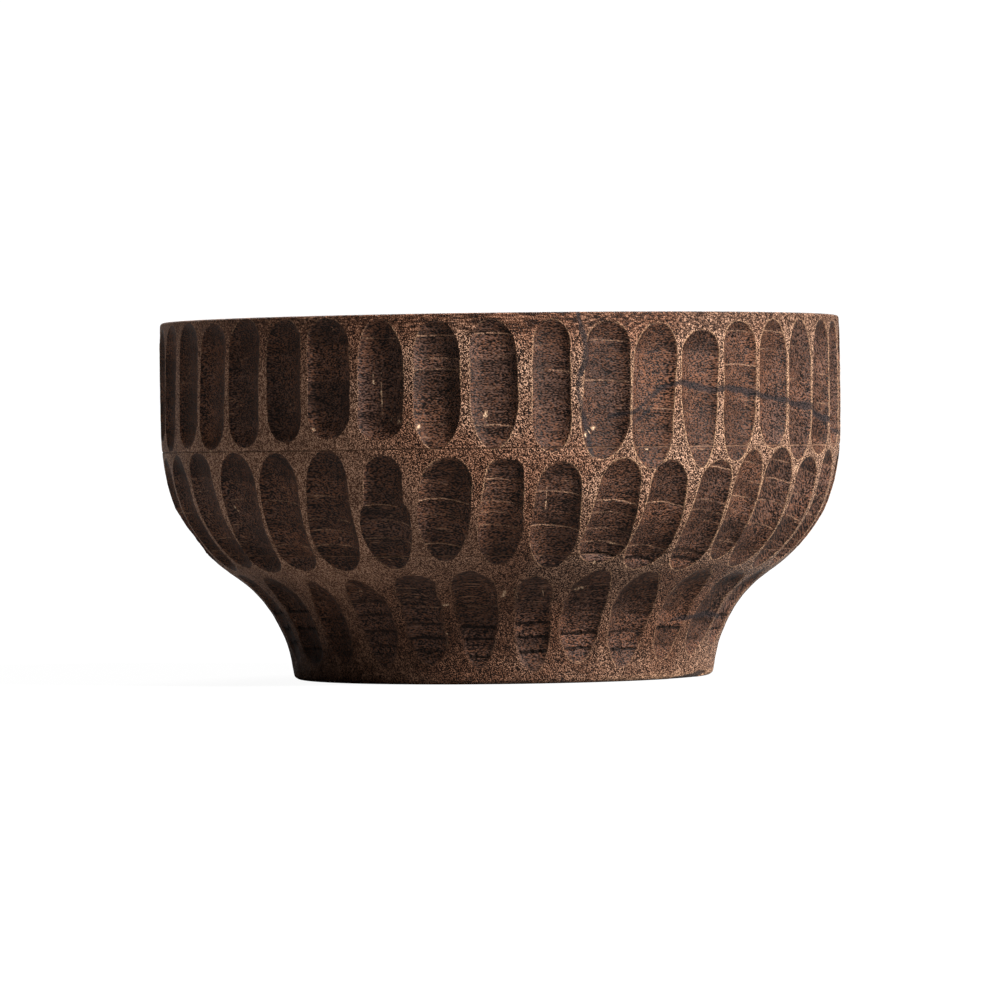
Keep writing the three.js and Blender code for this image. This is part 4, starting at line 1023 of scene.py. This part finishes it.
G = Nodes("cured_glue")
gn = G.noise(G.coords((1, 1, 1)), 300, 3, 0.6)
gb = G.add("ShaderNodeBsdfPrincipled")
G.put(gb.inputs["Base Color"], G.mix(G.ramp(gn, 0.35, 0.65), (0.024, 0.011, 0.006), (0.12, 0.062, 0.036)))
gb.inputs["Roughness"].default_value = 0.6
gb.inputs["Specular IOR Level"].default_value = 0.08
gbump = G.add("ShaderNodeBump")
gbump.inputs["Strength"].default_value = 0.5
gbump.inputs["Distance"].default_value = 0.0002
G.put(gbump.inputs["Height"], gn)
G.put(gb.inputs["Normal"], gbump.outputs["Normal"])
go = G.add("ShaderNodeOutputMaterial")
G.t.links.new(gb.outputs[0], go.inputs[0])
for o in (glue_u, glue_l):
    o.data.materials.append(G.mat)

# ---------------------------------------------------------------- stage
scene = bpy.context.scene
world = bpy.data.worlds.new("studio")
scene.world = world
world.use_nodes = True
bg = world.node_tree.nodes["Background"]
bg.inputs[0].default_value = (1.0, 1.0, 1.0, 1)
wt = world.node_tree
lp = wt.nodes.new("ShaderNodeLightPath")
wm = wt.nodes.new("ShaderNodeMapRange")       # a white backdrop to look at, but a dim room to light by
wm.inputs["To Min"].default_value = 0.115
wm.inputs["To Max"].default_value = 1.05
wt.links.new(lp.outputs["Is Camera Ray"], wm.inputs["Value"])
wt.links.new(wm.outputs["Result"], bg.inputs[1])
scene.view_settings.view_transform = "Standard"
scene.view_settings.look = "None"
scene.view_settings.exposure = 0.0
scene.view_settings.gamma = 1.0

fl = bpy.data.meshes.new("floor")
S = 30.0
fl.from_pydata([(-S, -S, 0), (S, -S, 0), (S, S, 0), (-S, S, 0)], [], [(0, 1, 2, 3)])
floor = bpy.data.objects.new("floor", fl)
scene.collection.objects.link(floor)
fm = bpy.data.materials.new("pale_floor")
fm.use_nodes = True
ft = fm.node_tree
fp = ft.nodes["Principled BSDF"]                # what the room sees: a matt pale sheet
fp.inputs["Base Color"].default_value = (0.31, 0.31, 0.31, 1)
fp.inputs["Roughness"].default_value = 0.9
fp.inputs["Specular IOR Level"].default_value = 0.0
fd, fe = ft.nodes.new("ShaderNodeBsdfDiffuse"), ft.nodes.new("ShaderNodeEmission")
fd.inputs["Color"].default_value = (0.045, 0.045, 0.045, 1)
fe.inputs["Color"].default_value = (1, 1, 1, 1)
fe.inputs["Strength"].default_value = 0.945
fa, fx, flp = ft.nodes.new("ShaderNodeAddShader"), ft.nodes.new("ShaderNodeMixShader"), ft.nodes.new("ShaderNodeLightPath")
ft.links.new(fd.outputs[0], fa.inputs[0])
ft.links.new(fe.outputs[0], fa.inputs[1])
ft.links.new(flp.outputs["Is Camera Ray"], fx.inputs[0])
ft.links.new(fp.outputs[0], fx.inputs[1])
ft.links.new(fa.outputs[0], fx.inputs[2])       # and what the eye sees: overexposed, with a faint shadow
ft.links.new(fx.outputs[0], ft.nodes["Material Output"].inputs[0])
fl.materials.append(fm)


def area(name, az, el, dist, size, power, color=(1, 1, 1)):
    """az from the front (towards the camera) to +X, el above the floor."""
    L = bpy.data.lights.new(name, "AREA")
    L.shape = "DISK"
    L.size = size
    L.energy = power
    L.color = color
    o = bpy.data.objects.new(name, L)
    a, e = math.radians(az), math.radians(el)
    o.location = (dist * math.sin(a) * math.cos(e), -dist * math.cos(a) * math.cos(e), dist * math.sin(e) + 0.08)
    d = Vector((0, 0, 0.08)) - o.location
    o.rotation_euler = d.to_track_quat("-Z", "Y").to_euler()
    scene.collection.objects.link(o)
    return o


sun = bpy.data.lights.new("key", "SUN")
sun.energy = 4.3 * math.pi
sun.angle = math.radians(14)
so = bpy.data.objects.new("key", sun)
scene.collection.objects.link(so)
az, el = math.radians(60), math.radians(33)
so.rotation_euler = Vector((-math.sin(az) * math.cos(el), math.cos(az) * math.cos(el), -math.sin(el))).to_track_quat("-Z", "Y").to_euler()

back = bpy.data.lights.new("back", "SUN")       # a softer light from behind, so that the far side isn't black
back.energy = 1.5 * math.pi
back.angle = math.radians(30)
bo = bpy.data.objects.new("back", back)
scene.collection.objects.link(bo)
el = math.radians(42)
bo.rotation_euler = Vector((0.0, -math.cos(el), -math.sin(el))).to_track_quat("-Z", "Y").to_euler()

cam = bpy.data.cameras.new("camera")
co = bpy.data.objects.new("camera", cam)
scene.collection.objects.link(co)
D = 2.700
eye = Vector((-0.0007, -D, 0.101))
pitch = math.atan(53.0 / 6132.0)
rot = Matrix.Rotation(math.pi / 2 - pitch, 4, "X")
roll = Matrix.Rotation(math.radians(-0.7), 4, "Z")
co.matrix_world = Matrix.Translation(eye) @ rot @ roll
cam.sensor_width = 36.0
cam.lens = 6132.0 / 1000.0 * 36.0
cam.clip_end = 100.0
scene.camera = co
